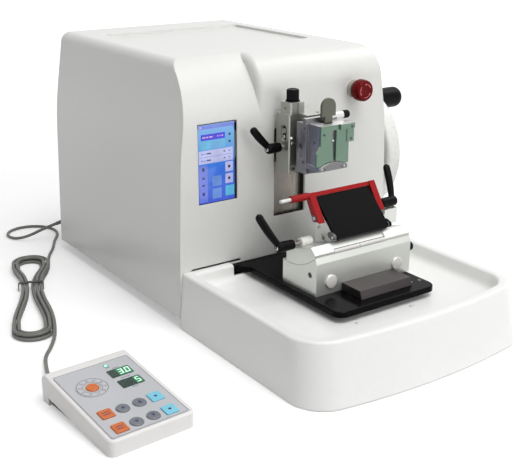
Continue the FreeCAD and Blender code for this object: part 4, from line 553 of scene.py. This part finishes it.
def rounded_outline(x0, x1, y0, y1, radius, steps=5):
    points = []
    corners = ((x1 - radius, y1 - radius, 0), (x0 + radius, y1 - radius, 90),
               (x0 + radius, y0 + radius, 180), (x1 - radius, y0 + radius, 270))
    for x, y, start in corners:
        for i in range(steps + 1):
            angle = math.radians(start + 90 * i / steps)
            points.append((x + radius * math.cos(angle), y + radius * math.sin(angle)))
    return points


def around(centre, radius, degrees):
    """Point of a circle in a plane."""
    angle = math.radians(degrees)
    return centre[0] + radius * math.cos(angle), centre[1] + radius * math.sin(angle)


def arc_band(centre, inner, outer, start, end, steps):
    """Outline of a band along a circle."""
    turns = [start + (end - start) * i / steps for i in range(steps + 1)]
    return ([around(centre, outer, turn) for turn in turns]
            + [around(centre, inner, turn) for turn in turns[::-1]])


def hexagon(radius):
    """Radius of a six-sided hole at each angle."""
    return lambda angle: radius * math.cos(math.pi / 6) / math.cos((angle % (math.pi / 3)) - math.pi / 6)


def on_front(y):
    """Place for a slab drawn in x and z that stands on a plane facing the operator."""
    return Matrix(((1, 0, 0, 0), (0, 0, -1, y), (0, 1, 0, 0), (0, 0, 0, 1)))


# Fittings of the cable

def strain_relief(piece, root, tip, made, root_radius, tip_radius, ribs):
    """Tapered boot whose rings stand out between narrow gaps."""
    way = tip - root
    length = way.length
    profile = []
    smooth = 0.22
    for i in range(8):
        share = smooth * i / 7
        profile.append((length * share, root_radius + (tip_radius - root_radius) * share))
    steps = ribs * 10
    for i in range(steps + 1):
        share = smooth + (1 - smooth - 0.04) * i / steps
        radius = root_radius + (tip_radius - root_radius) * share
        wave = 0.5 - 0.5 * math.cos(2 * math.pi * ribs * i / steps)
        profile.append((length * share, radius - (radius - 2.45) * 0.55 * min(1, wave * 1.6)))
    profile += [(length * 0.985, tip_radius), (length, tip_radius * 0.93)]
    piece.lathe(root, way, profile, made, count=28)


def cable_fittings():
    plug = Piece()
    teeth = lambda angle, r, along: r - 0.35 * (0.5 + 0.5 * math.cos(30 * angle)) if 4 < along < 13 else r
    plug.lathe((-112, 373.0, 42), REAR,
               [(0, 7.3), (0.8, 8), (3.9, 8), (4.2, 7.9), (8.5, 7.9), (12.8, 7.9), (13.2, 8), (14.5, 8),
                (16, 7.2), (18.5, 6.6), (20, 5.6)], black_plastic, count=120, shape=teeth)
    strain_relief(plug, rear_boot_root, rear_boot_tip, sheath, 5.5, 2.9, 7)
    rear = plug.finish("cable_plug", "body", crease=50)
    boot = Piece()
    root = handset_boot_root - (handset_boot_tip - handset_boot_root).normalized() * 0.4
    strain_relief(boot, root, handset_boot_tip, sheath, 5.5, 2.9, 3)
    front = boot.finish("handset_boot", "body", crease=50)
    return rear, front


cable.data.materials.append(sheath)
rear_fitting, handset_fitting = cable_fittings()
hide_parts("cable_run_rear", "cable_hank", "cable_run_front")
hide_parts("cable_boots")


# Clamping levers: hub and curved arm cast in one

SEGMENT_AXIS = (-107, 124.5)
BLADE_AXIS = (-112, 153)


def cast_lever(name, node_name, body, axis, hub_start, hub_end, tip, bend):
    """Lever with its hub along x at the axis (y, z) and its arm from the hub's end to the tip."""
    y, z = axis
    outward = 1 if hub_end > hub_start else -1
    length = abs(hub_end - hub_start)
    form = Piece()
    form.lathe((hub_start, y, z), (outward, 0, 0),
               [(0, 5.4), (0.9, 6.1), (length * 0.45, 6.3), (length * 0.8, 6.5), (length - 1.6, 6.4),
                (length - 0.3, 5.4), (length, 4.4)], black_plastic, count=48)
    root = Vector((hub_end - outward * 5.2, y, z))
    tip = Vector(tip)
    path, radii = [], []
    steps = 22
    for i in range(steps + 1):
        share = i / steps
        straight = root.lerp(tip, share)
        path.append(straight + Vector(bend) * math.sin(math.pi * share))
        belly = 4.0 + 0.9 * math.sin(math.pi * min(1, share * 0.8)) ** 1.5 + 0.3 * share
        near_tip = max(0.0, (share - 0.9) / 0.1)
        radii.append(belly * math.sqrt(max(0.03, 1 - near_tip ** 2)))
    form.tube(path, radii, black_plastic, count=28, flat=0.84)
    lever = form.finish(name + "_grip", body)
    blend = lever.modifiers.new("blend", "REMESH")
    blend.mode = "VOXEL"
    blend.voxel_size = 0.00055
    blend.use_smooth_shade = True
    soft = lever.modifiers.new("soft", "SMOOTH")
    soft.factor = 0.6
    soft.iterations = 6
    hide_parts(node_name)


LEVERS = (
    ("head_lever", "column_lever", "head_lever", (-22, 220), -30, -50,
     (-72.5, -22, 249.5), (-0.9, 0, -0.7)),
    ("segment_lever", "segment_lever", "tilt_lever", SEGMENT_AXIS, -71.3, -96,
     (-123.5, -107, 171), (-0.9, 0, -0.5)),
    ("blade_lever", "blade_lever", "side_lever", BLADE_AXIS, 62, 86,
     (91, -86.5, 194), (0.8, -0.6, 0)),
)
for lever_values in LEVERS:
    cast_lever(*lever_values)


# Small screws and turned trim, gathered by the body that they sit on

TILT_SPINDLE = (-60, 260)
STOP_CENTRE = (104.6, 277)
WHEEL_AXIS = (95, 167)


def lever_screws():
    for name, _, body, axis, hub_start, hub_end, _, _ in LEVERS:
        outward = 1 if hub_end > hub_start else -1
        head = Piece()
        head.screw((hub_end - outward * 1.2, *axis), (outward, 0, 0), 3.4, 1.7, bright_steel)
        head.finish(name + "_screw", body)


def knurled_knob(name, node_name, body, origin, axis, radius, length, stem_radius, stem_back, flange=0.0):
    knob = Piece()
    start = 1.6 if flange else 0.6
    profile = [(-stem_back, stem_radius * 0.9), (-stem_back + 0.4, stem_radius), (-0.01, stem_radius)]
    if flange:
        profile += [(0, radius + flange - 0.3), (0.3, radius + flange), (1.2, radius + flange),
                    (1.5, radius + flange - 0.3), (1.6, radius - 0.6)]
    else:
        profile += [(0, radius - 0.5), (0.5, radius)]
    profile += [(start + 0.6, radius), (length * 0.55, radius), (length - 1.4, radius),
                (length - 0.5, radius - 0.7), (length, radius - 1.8), (length - 0.5, radius - 2.6),
                (length - 0.5, 0.01)]
    teeth = lambda angle, r, along: (r - 0.45 * (0.5 + 0.5 * math.cos(26 * angle))
                                     if start + 0.3 < along < length - 1 and abs(r - radius) < 0.01 else r)
    knob.lathe(origin, axis, profile, black_plastic, count=156, shape=teeth)
    made = knob.finish(name, body, crease=40)
    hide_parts(node_name)


def head_trim():
    knurled_knob("top_knob_grip", "top_knob", "swivel_knob", (-14, -26.5, 277.3), UP,
                 7.9, 15, 3.0, 8.3, flange=1.2)
    knurled_knob("tilt_knob_grip", "tilt_knob", "clamp_knob", (37.8, *TILT_SPINDLE), RIGHT,
                 5, 10, 2.5, 6.3)
    column = Piece()
    # Dark sheet of painted shade for the recess in the column's side
    column.slab(Matrix.Translation((-24.1, 0, 0)) @ Matrix.Rotation(math.radians(-90), 4, "Y"),
                rounded_outline(229, 247, -28.3, -20.7, 3.7), 0, 0.25, painted_hollow_shade)
    column.screw((-24.2, -24.5, 240.5), LEFT, 3.1, 1.6, column_silver)
    column.screw((-24.2, -24.5, 233.2), LEFT, 2.2, 1.4, bright_steel)
    column.lathe((-22.8, -35.8, 233), FRONT,
                 [(0, 2.2), (0.9, 2.2), (1.1, 1.7), (2.2, 1.3), (2.8, 0.6), (3, 0.05)],
                 bright_steel, count=24)
    column.screw((-20.5, -35.9, 226), FRONT, 2.2, 1.1, bright_steel)
    column.screw((-19.5, -35.9, 193.5), FRONT, 2.6, 1.4, dark_alloy)
    # Split line as a thin sheet of painted shade, clamping screw and washer of the block under the top knob
    column.slab(on_front(-37.4), [(-14.6, 262.4), (-13.6, 262.4), (-13.6, 276.6), (-14.6, 276.6)],
                0, 0.25, painted_hollow_shade)
    column.screw((-24.8, -26.5, 269.5), LEFT, 2.4, 1.2, steel)
    column.finish("column_fittings", "feed")

    cradle = Piece()
    for z in (202, 250):
        cradle.screw((-15.4, -53, z), LEFT, 2.0, 1.1, steel)
    cradle.finish("cradle_fittings", "cradle")

    clamp = Piece()
    for x, y, z, radius in ((-21.95, -60, 207.5, 1.7), (-21.95, -61.5, 250.5, 1.5), (-17.95, -76.5, 235, 1.6),
                            (-17.95, -68, 205, 1.4)):
        clamp.screw((x, y, z), LEFT, radius, 0.8, dark_alloy)
    for y, z in ((-68.5, 250), (-55, 207)):
        clamp.screw((25.95, y, z), RIGHT, 1.7, 0.8, dark_alloy)
    # Ground front of the bowed lower lip, and its screws
    centre_z, radius = 164.8, 45.6
    crown = []
    for i in range(21):
        x = 22.5 - 44.0 * i / 20
        crown.append((x, max(205.9, centre_z + math.sqrt(radius ** 2 - (x - 1.0) ** 2))))
    clamp.slab(on_front(-91.0), [(-21.5, 201.1), (22.5, 201.1)] + crown, -0.1, 0.14, lip_alloy)
    clamp.slab(on_front(-64.0), [(-21.9, 256.2), (14.9, 256.2), (14.9, 261.9), (-21.9, 261.9)],
               -0.1, 0.14, lip_alloy)
    for x, made in ((-17.0, bright_steel), (-12.8, dark_alloy), (14.0, dark_alloy), (18.0, bright_steel)):
        clamp.screw((x, -91.1, 204.0), FRONT, 1.2, 0.5, made)
    # Bright sleeve of the tilt spindle
    clamp.lathe((15.2, *TILT_SPINDLE), RIGHT, [(0, 5.0), (0.1, 5.12), (22.1, 5.12), (22.25, 5.0)],
                silver, count=48)
    clamp.finish("clamp_fittings", "clamp")

    jaw = Piece()
    for x, front, z in ((-12.6, -88.5, 245.8), (28.8, -91.0, 251.8), (28.8, -89.5, 236.6)):
        jaw.screw((x, front + 0.05, z), FRONT, 1.6, 0.6, dark_alloy)
    jaw.finish("jaw_fittings", "jaw")

    pin = Piece()
    pin.lathe((2.6, -84.9, 236.5), FRONT, [(0, 1.4), (2.0, 1.4), (2.5, 1.0), (2.7, 0.05)],
              bright_steel, count=24)
    pin.finish("clamp_rod_end", "clamp")


def stop_trim():
    head = Piece()
    head.lathe((STOP_CENTRE[0], -9.3, STOP_CENTRE[1]), FRONT,
               [(0, 6.9), (4.3, 7), (4.4, 11.5), (4.8, 13.2), (6.0, 14.2), (9.0, 14.45), (13.0, 14.2),
                (16.2, 13.7), (17.3, 13.1), (18.0, 12.1), (18.25, 10.8), (18.0, 8.5), (17.6, 5),
                (17.4, 0.01)], red_plastic, count=72)
    for turn in range(3):
        start = turn * 120 + 20
        arrow = [around(STOP_CENTRE, 8.8, start + 80), around(STOP_CENTRE, 10.6, start + 60),
                 around(STOP_CENTRE, 7.0, start + 60)]
        for outline in (arc_band(STOP_CENTRE, 8.3, 9.3, start, start + 62, 8), arrow):
            head.slab(on_front(-27.3), outline, -0.3, 0.12, stop_mark)
    made = head.finish("stop_head_cap", "stop", crease=28)
    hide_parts("stop_head")


def knife_trim():
    base = Piece()
    for x in (-47.0, 58.0):
        base.lathe((x, -152.0, 85.5), FRONT, [(-0.4, 8.0), (0.12, 7.7), (0.3, 7.2), (0.34, 0.05)],
                   white_mark, count=48)
    base.screw((-61.8, -137.5, 94), LEFT, 3.0, 2.6, dark_alloy)
    base.finish("base_fittings", "knife_block")

    segment = Piece()
    # Sleeve on the lever spindle and scale drum behind it
    segment.lathe((-61.2, *SEGMENT_AXIS), RIGHT,
                  [(0, 5.0), (0.4, 5.7), (1.4, 5.75), (1.6, 5.6), (14.6, 5.6), (15, 5.75), (16, 5.7)],
                  wheel_white, count=48)
    segment.lathe((-70.6, *SEGMENT_AXIS), RIGHT,
                  [(0, 3.3), (0.3, 3.6), (1.9, 3.6), (2.2, 3.3), (2.4, 3.0), (9.4, 3.0)], steel, count=32)
    # Light index strips on the track below the slit
    profile = [(-146.6, 118.7), (-147.35, 118.9), (-147.45, 120.9), (-145.65, 122.85), (-145.2, 122.3),
               (-146.6, 121.0)]
    for x0, x1 in ((-39.7, -1.4), (-0.2, 40.7)):
        segment.rings([[(x, y, z) for y, z in profile] for x in (x0, x1)], white_mark)
    # Shade at the foot of the slit
    slit = [(-144.9, 122.9), (-144.5, 123.2), (-143.4, 122.0), (-143.8, 121.6)]
    segment.rings([[(x, y, z) for y, z in slit] for x in (-39.9, 40.9)], painted_hollow_shade)
    segment.finish("segment_fittings", "segment")

    carriage = Piece()
    # Dark covers of the plate's hinge ears
    ear = [around(centre, 3.62, turn + 15 + 180 * i / 12)
           for centre, turn in (((-138.0, 134.6), 90), ((-132.6, 136.5), 270)) for i in range(13)]
    for x0, x1, made in ((-37.0, -33.2, dark_alloy), (50.7, 54.5, black_coat)):
        carriage.rings([[(x, y, z) for y, z in ear] for x in (x0, x1)], made)
    carriage.screw((-36.9, -138.0, 134.6), LEFT, 1.9, 0.8, bright_steel)
    carriage.screw((-32.95, -117, 127.5), LEFT, 2.4, 1.1, steel)
    carriage.screw((-32.95, -108, 139), LEFT, 2.2, 1.1, bright_steel)
    # Thin dark strip of painted shade on the carriage's side
    carriage.slab(Matrix.Translation((-33.0, 0, 0)) @ Matrix.Rotation(math.radians(-90), 4, "Y"),
                  [(121, -124.6), (132, -113.5), (131.4, -112.9), (120.4, -124)], 0, 0.12, painted_hollow_shade)
    for y in (-116, -108):
        carriage.screw((73, y, 145.95), UP, 1.9, 0.8, steel)
    blade_hub = (-44.05, *BLADE_AXIS)
    carriage.lathe(blade_hub, LEFT, [(0, 4.2), (0.5, 4.2), (0.8, 3.8), (0.8, 2.2)], dark_alloy)
    carriage.screw(blade_hub, LEFT, 2.0, 1.2, bright_steel)
    carriage.finish("carriage_fittings", "carriage")


def plate_trim():
    plate = Piece()
    for x, y in ((56.6, -178.4), (69.4, -179.7), (68, -30)):
        plate.screw((x, y, 69.95), UP, 2.1, 0.45, steel)
    plate.finish("plate_screws", "body")
    tray = Piece()
    for x in (-55.4, 28.6):
        tray.lathe((x, -210.5, 56.0), UP, [(-0.3, 3.4), (0.35, 3.2), (0.7, 2.4), (0.85, 0.05)],
                   shell, count=32)
    tray.finish("tray_plugs", "tray", crease=60)


# Touch screen: generic coloured fields, strips and marks

def screen_trim():
    face = -2.5
    picture = Piece()

    def field(u0, u1, v0, v1, made, lift, corner=0.35):
        """Rectangle in shares of the screen, measured from its top left corner."""
        outline = rounded_outline(SCREEN_LEFT + u0 * SCREEN_WIDE, SCREEN_LEFT + u1 * SCREEN_WIDE,
                                  SCREEN_BOTTOM + (1 - v1) * SCREEN_TALL,
                                  SCREEN_BOTTOM + (1 - v0) * SCREEN_TALL, corner, steps=3)
        picture.slab(on_front(face), outline, 0, lift, made)

    field(0.01, 0.94, 0.008, 0.992, screen_ground, 0.05)
    field(0.02, 0.93, 0.015, 0.06, screen_band, 0.08)
    field(0.05, 0.1, 0.025, 0.05, screen_blush, 0.1)
    field(0.4, 0.62, 0.028, 0.045, screen_key, 0.1)
    field(0.08, 0.7, 0.125, 0.2, screen_deep, 0.08)
    for u0, u1 in ((0.12, 0.2), (0.22, 0.27), (0.29, 0.38), (0.5, 0.53), (0.56, 0.58), (0.61, 0.65)):
        field(u0, u1, 0.155, 0.17, screen_blush, 0.1, 0.2)
    field(0.08, 0.7, 0.21, 0.31, screen_teal, 0.08)
    for v in (0.235, 0.265, 0.29):
        field(0.3, 0.64, v, v + 0.007, screen_band, 0.1, 0.1)
    for v in (0.16, 0.25):
        field(0.79, 0.85, v - 0.016, v + 0.016, screen_mark, 0.1, 0.8)
    field(0.02, 0.9, 0.325, 0.49, screen_pale, 0.08)
    field(0.04, 0.88, 0.405, 0.41, screen_band, 0.1, 0.1)
    for v in (0.365, 0.45):
        for u0, u1 in ((0.08, 0.14), (0.16, 0.19), (0.22, 0.33), (0.66, 0.7), (0.79, 0.84)):
            made = screen_mark if 0.2 < u0 < 0.7 else screen_band
            field(u0, u1, v - 0.008, v + 0.008, made, 0.1, 0.2)
    field(0.02, 0.24, 0.51, 0.975, screen_band, 0.07)
    for v, tall_mark in ((0.56, 0.022), (0.67, 0.013), (0.76, 0.013), (0.87, 0.022)):
        field(0.1, 0.16, v - tall_mark, v + tall_mark, screen_mark, 0.1, 0.8)
    for v in (0.505, 0.655):
        field(0.7, 0.9, v, v + 0.125, screen_pale, 0.09, 0.8)
        field(0.77, 0.83, v + 0.045, v + 0.08, screen_mark, 0.11, 0.8)
    field(0.7, 0.93, 0.81, 0.94, screen_teal, 0.09, 0.6)
    for v in (0.66, 0.82):
        field(0.36, 0.6, v, v + 0.13, screen_key, 0.08, 0.5)
    picture.finish("screen_picture", "body", smooth=False)


# Handset: keypad print, displays and lamp, drawn on the sloping panel

PANEL_TOP, DISPLAY_TOP, STOP_KEY_TOP, KEY_TOP = 0.3, 0.9, 1.0, 1.7
KEY_COLUMNS, KEY_ROWS = (20.6, 39.8, 59.4, 78.8), (15.8, 43.0)
STOP_KEY = (32.0, 92.0)
LAMP = (64.4, 121.6)


def panel_print(piece, outline, top, made, depth=0.1, rise=0.06):
    """Thin print that is sunk a little into its ground at the height top."""
    piece.slab(panel_place, outline, top - depth, top + rise, made)


def stroke(x0, x1, y, half, radius):
    return rounded_outline(x0, x1, y - half, y + half, radius, 3)


def panel_border(piece):
    """Line round the panel, as a band between two outlines."""
    outer = rounded_outline(5.6, 94.9, 4.6, 129.9, 3.6)
    inner = rounded_outline(6.0, 94.5, 5.0, 129.5, 3.3)
    points = [panel_place @ Vector((x, y, z)) for outline in (outer, inner)
              for z in (PANEL_TOP - 0.1, PANEL_TOP + 0.05) for x, y in outline]
    n = len(outer)
    faces = []
    for i in range(n):
        j = (i + 1) % n
        faces.append([n + i, n + j, 3 * n + j, 3 * n + i])
        faces.append([i, j, n + j, n + i])
        faces.append([3 * n + i, 3 * n + j, 2 * n + j, 2 * n + i])
    piece.add(points, faces, foil_line)


def keypad_print():
    marks = Piece()
    panel_border(marks)
    # Ring round the stop key, divided in five, with a stroke in each field
    for start in (18, 90, 162, 234, 306):
        panel_print(marks, arc_band(STOP_KEY, 16.3, 16.9, start + 3, start + 69, 24), STOP_KEY_TOP, foil_line)
        panel_print(marks, arc_band(STOP_KEY, 10.2, 10.7, start + 4, start + 68, 24), STOP_KEY_TOP, foil_line)
        for side in (3, 69):
            angle = math.radians(start + side)
            ray = Vector((math.cos(angle), math.sin(angle)))
            across = Vector((-ray.y, ray.x)) * 0.22
            centre = Vector(STOP_KEY)
            corners = (centre + ray * 10.4 - across, centre + ray * 16.6 - across,
                       centre + ray * 16.6 + across, centre + ray * 10.4 + across)
            panel_print(marks, corners, STOP_KEY_TOP, foil_line)
        x, y = around(STOP_KEY, 13.5, start + 36)
        panel_print(marks, stroke(x - 2.0, x + 2.0, y, 0.35, 0.3), STOP_KEY_TOP, foil_line)
    # Plain strokes beside the displays and the lamp
    for x0, x1, y in ((68, 76, 113.6), (66, 78, 92.4), (68, 76, 71.6), (61.5, 67.5, 117.4)):
        panel_print(marks, stroke(x0, x1, y, 0.4, 0.35), PANEL_TOP, foil_line)
    marks.finish("keypad_print", "body", smooth=False)


def status_lamp():
    lamp = Piece()
    foot = panel_place @ Vector((*LAMP, PANEL_TOP - 0.1))
    up = panel_place.to_3x3() @ Vector(UP)
    lamp.lathe(foot, up, [(0, 2.1), (0.5, 2.0), (0.95, 1.4), (1.1, 0.05)], led_lit, count=28)
    lamp.lathe(foot, up, [(0, 2.9), (0.3, 2.8), (0.32, 2.0)], foil_line, count=28)
    lamp.finish("status_lamp", "body", crease=60)


def display_figures():
    """Seven-stroke figures 3.0 and 5, with unlit places before them."""
    wide, tall, thick, lean = 5.4, 9.6, 1.25, 0.1
    half = thick / 2
    level = (-wide / 2 + half * 0.6, wide / 2 - half * 0.6)
    left, right = (-wide / 2, -wide / 2 + thick), (wide / 2 - thick, wide / 2)
    upper, lower = (0.15, tall / 2 - 0.15), (-tall / 2 + 0.15, -0.15)
    strokes = {
        "top": (*level, tall / 2 - thick, tall / 2), "middle": (*level, -half, half),
        "bottom": (*level, -tall / 2, -tall / 2 + thick),
        "upper_left": (*left, *upper), "upper_right": (*right, *upper),
        "lower_left": (*left, *lower), "lower_right": (*right, *lower),
    }
    left_out = {"8": (), "0": ("middle",), "3": ("upper_left", "lower_left"),
                "5": ("upper_right", "lower_left")}
    digits = Piece()
    # Green fields of painted glow behind the figures, for the halo of the lit digits
    for x0, y0, y1 in ((68.5, 96.9, 110.1), (76.5, 74.4, 87.6)):
        panel_print(digits, rounded_outline(x0, 84.6, y0, y1, 0.8, 3), DISPLAY_TOP, painted_digit_glow, 0.05, 0.03)
    for x, y, sign, made in ((64.0, 103.5, "8", digit_unlit), (72.6, 103.5, "3", digit_lit),
                             (80.6, 103.5, "0", digit_lit), (64.2, 81.0, "8", digit_unlit),
                             (72.4, 81.0, "8", digit_unlit), (80.6, 81.0, "5", digit_lit)):
        for name, values in strokes.items():
            if name not in left_out[sign]:
                outline = [(x + px + lean * py, y + py) for px, py in rounded_outline(*values, 0.35, 2)]
                panel_print(digits, outline, DISPLAY_TOP, made, 0.05, 0.08)
    panel_print(digits, rounded_outline(75.9, 77.1, 98.6, 99.8, 0.5, 3), DISPLAY_TOP, digit_lit, 0.05, 0.08)
    digits.finish("display_figures", "body", smooth=False)


def key_signs():
    """Plain signs on the keys: strokes on the orange ones, arrows on the round ones, dots on the blue."""
    kinds = ("orange", "dome", "dome", "blue")
    for row, y in enumerate(KEY_ROWS, 1):
        for column, (x, kind) in enumerate(zip(KEY_COLUMNS, kinds), 1):
            way = 1 if row == 2 else -1
            arrow = [(x - 2.2, y - way * 1.4), (x + 2.2, y - way * 1.4), (x, y + way * 2.4)][::way]
            outlines = {
                "orange": [stroke(x - 4.4, x + 4.4, y + rise, 0.5, 0.45) for rise in (-2.0, 1.6)],
                "dome": [arrow],
                "blue": [rounded_outline(x - 1.7, x + 1.7, y - 1.5, y + 1.5, 1.2, 4)],
            }[kind]
            if column == 3:
                outlines.append(stroke(x - 2.2, x + 2.2, y - way * 2.6, 0.4, 0.35))
            sign = Piece()
            for outline in outlines:
                panel_print(sign, outline, KEY_TOP, key_mark)
            label = "%s_%d%d" % (kind, row, column)
            sign.finish("sign_" + label, "button_" + label, smooth=False)


# Rear panel and wheel

def rear_trim():
    rear = Piece()
    for x in (-134, -36):
        for z in (28, 86):
            rear.screw((x, 367.95, z), REAR, 2.6, 1.3, steel)
    rear.lathe((-112, 367.9, 42), REAR, [(0, 11.4), (0.6, 11.4), (0.9, 11.0), (1.6, 11.0), (1.8, 9.4)],
               steel, count=6 * 12, shape=lambda angle, r, along: hexagon(r)(angle) if r > 10 else r)
    for x in (-78.5, -37.5):
        rear.screw((x, 367.95, 60), REAR, 1.8, 0.9, steel)
    rear.finish("rear_fittings", "body")

    wheel = Piece()
    wheel.lathe((205.9, *WHEEL_AXIS), RIGHT,
                [(0, 17.2), (0.6, 17.2), (1.1, 16.6), (1.2, 14.2), (0.7, 13.8), (0.8, 9), (1.6, 8.4),
                 (1.7, 0.05)], black_plastic, count=64)
    for turn in range(5):
        wheel.screw((197.95, *around(WHEEL_AXIS, 66, 72 * turn + 20)), RIGHT, 2.6, 1.2, steel)
    wheel.finish("wheel_fittings", "wheel")
    grip = Piece()
    grip.lathe((255.2, 70, 239), RIGHT, [(-0.3, 4.2), (0.05, 4.2), (0.2, 3.9), (0.22, 0.05)],
               bright_steel, count=32)
    grip.finish("grip_cap", "grip")


lever_screws()
head_trim()
stop_trim()
knife_trim()
plate_trim()
screen_trim()
keypad_print()
status_lamp()
display_figures()
key_signs()
rear_trim()


# Floor, world and light

def seen_directly(tree):
    """1 for camera, mirror and see-through rays, and 0 for rays that only gather light."""
    path = node(tree, "ShaderNodeLightPath")
    value = path.outputs["Is Camera Ray"]
    for kind in ("Is Glossy Ray", "Is Transmission Ray"):
        either = node(tree, "ShaderNodeMath", operation="MAXIMUM")
        join(value, either.inputs[0])
        join(path.outputs[kind], either.inputs[1])
        value = either.outputs["Value"]
    return value


def pale_stage():
    """Wide floor that keeps the shadow and turns to the white of the background farther out."""
    reach = 6.0
    mesh = bpy.data.meshes.new("floor")
    mesh.from_pydata([(-reach, -reach, 0), (reach, -reach, 0), (reach, reach, 0), (-reach, reach, 0)],
                     [], [(0, 1, 2, 3)])
    floor = new_object("floor", mesh)
    made, tree, shader = new_material("pale_floor", Base_Color=(0.85, 0.85, 0.85, 1), Roughness=0.6,
                                      Specular_IOR_Level=0.1, Emission_Color=(1, 1, 1, 1))
    place = node(tree, "ShaderNodeTexCoord")
    far = node(tree, "ShaderNodeVectorMath", operation="LENGTH")
    join(place.outputs["Object"], far.inputs[0])
    grow = node(tree, "ShaderNodeMapRange", From_Min=0.7, From_Max=2.2, To_Min=0.36, To_Max=0.9)
    join(far.outputs["Value"], grow.inputs["Value"])
    lift = node(tree, "ShaderNodeMath", operation="MULTIPLY")
    join(seen_directly(tree), lift.inputs[0])
    join(grow.outputs["Result"], lift.inputs[1])
    join(lift.outputs["Value"], shader.inputs["Emission Strength"])
    mesh.materials.append(made)


def pale_world():
    """White behind the object and in its reflections, and a weaker even light from all round."""
    world = bpy.data.worlds.new("world")
    bpy.context.scene.world = world
    world.use_nodes = True
    tree = world.node_tree
    back = tree.nodes["Background"]
    back.inputs["Color"].default_value = (1, 1, 1, 1)
    level = node(tree, "ShaderNodeMapRange", To_Min=0.3, To_Max=1.0)
    join(seen_directly(tree), level.inputs["Value"])
    join(level.outputs["Result"], back.inputs["Strength"])


def soft_lamp(name, place, aim, size, power):
    data = bpy.data.lights.new(name, "AREA")
    data.shape = "DISK"
    data.size = size
    data.energy = power
    lamp = new_object(name, data)
    place, aim = Vector(place), Vector(aim)
    lamp.matrix_world = Matrix.Translation(place) @ (place - aim).to_track_quat("Z", "Y").to_matrix().to_4x4()


pale_stage()
pale_world()
soft_lamp("front_lamp", (0.9, -3.8, 1.9), (0.05, -0.1, 0.15), 2.2, 32)
soft_lamp("top_lamp", (0.2, -0.9, 2.4), (0.05, -0.1, 0.0), 1.8, 36)
soft_lamp("side_lamp", (1.9, -0.2, 2.0), (0.1, -0.3, 0.05), 1.4, 10)
bpy.context.scene.view_settings.view_transform = "Standard"
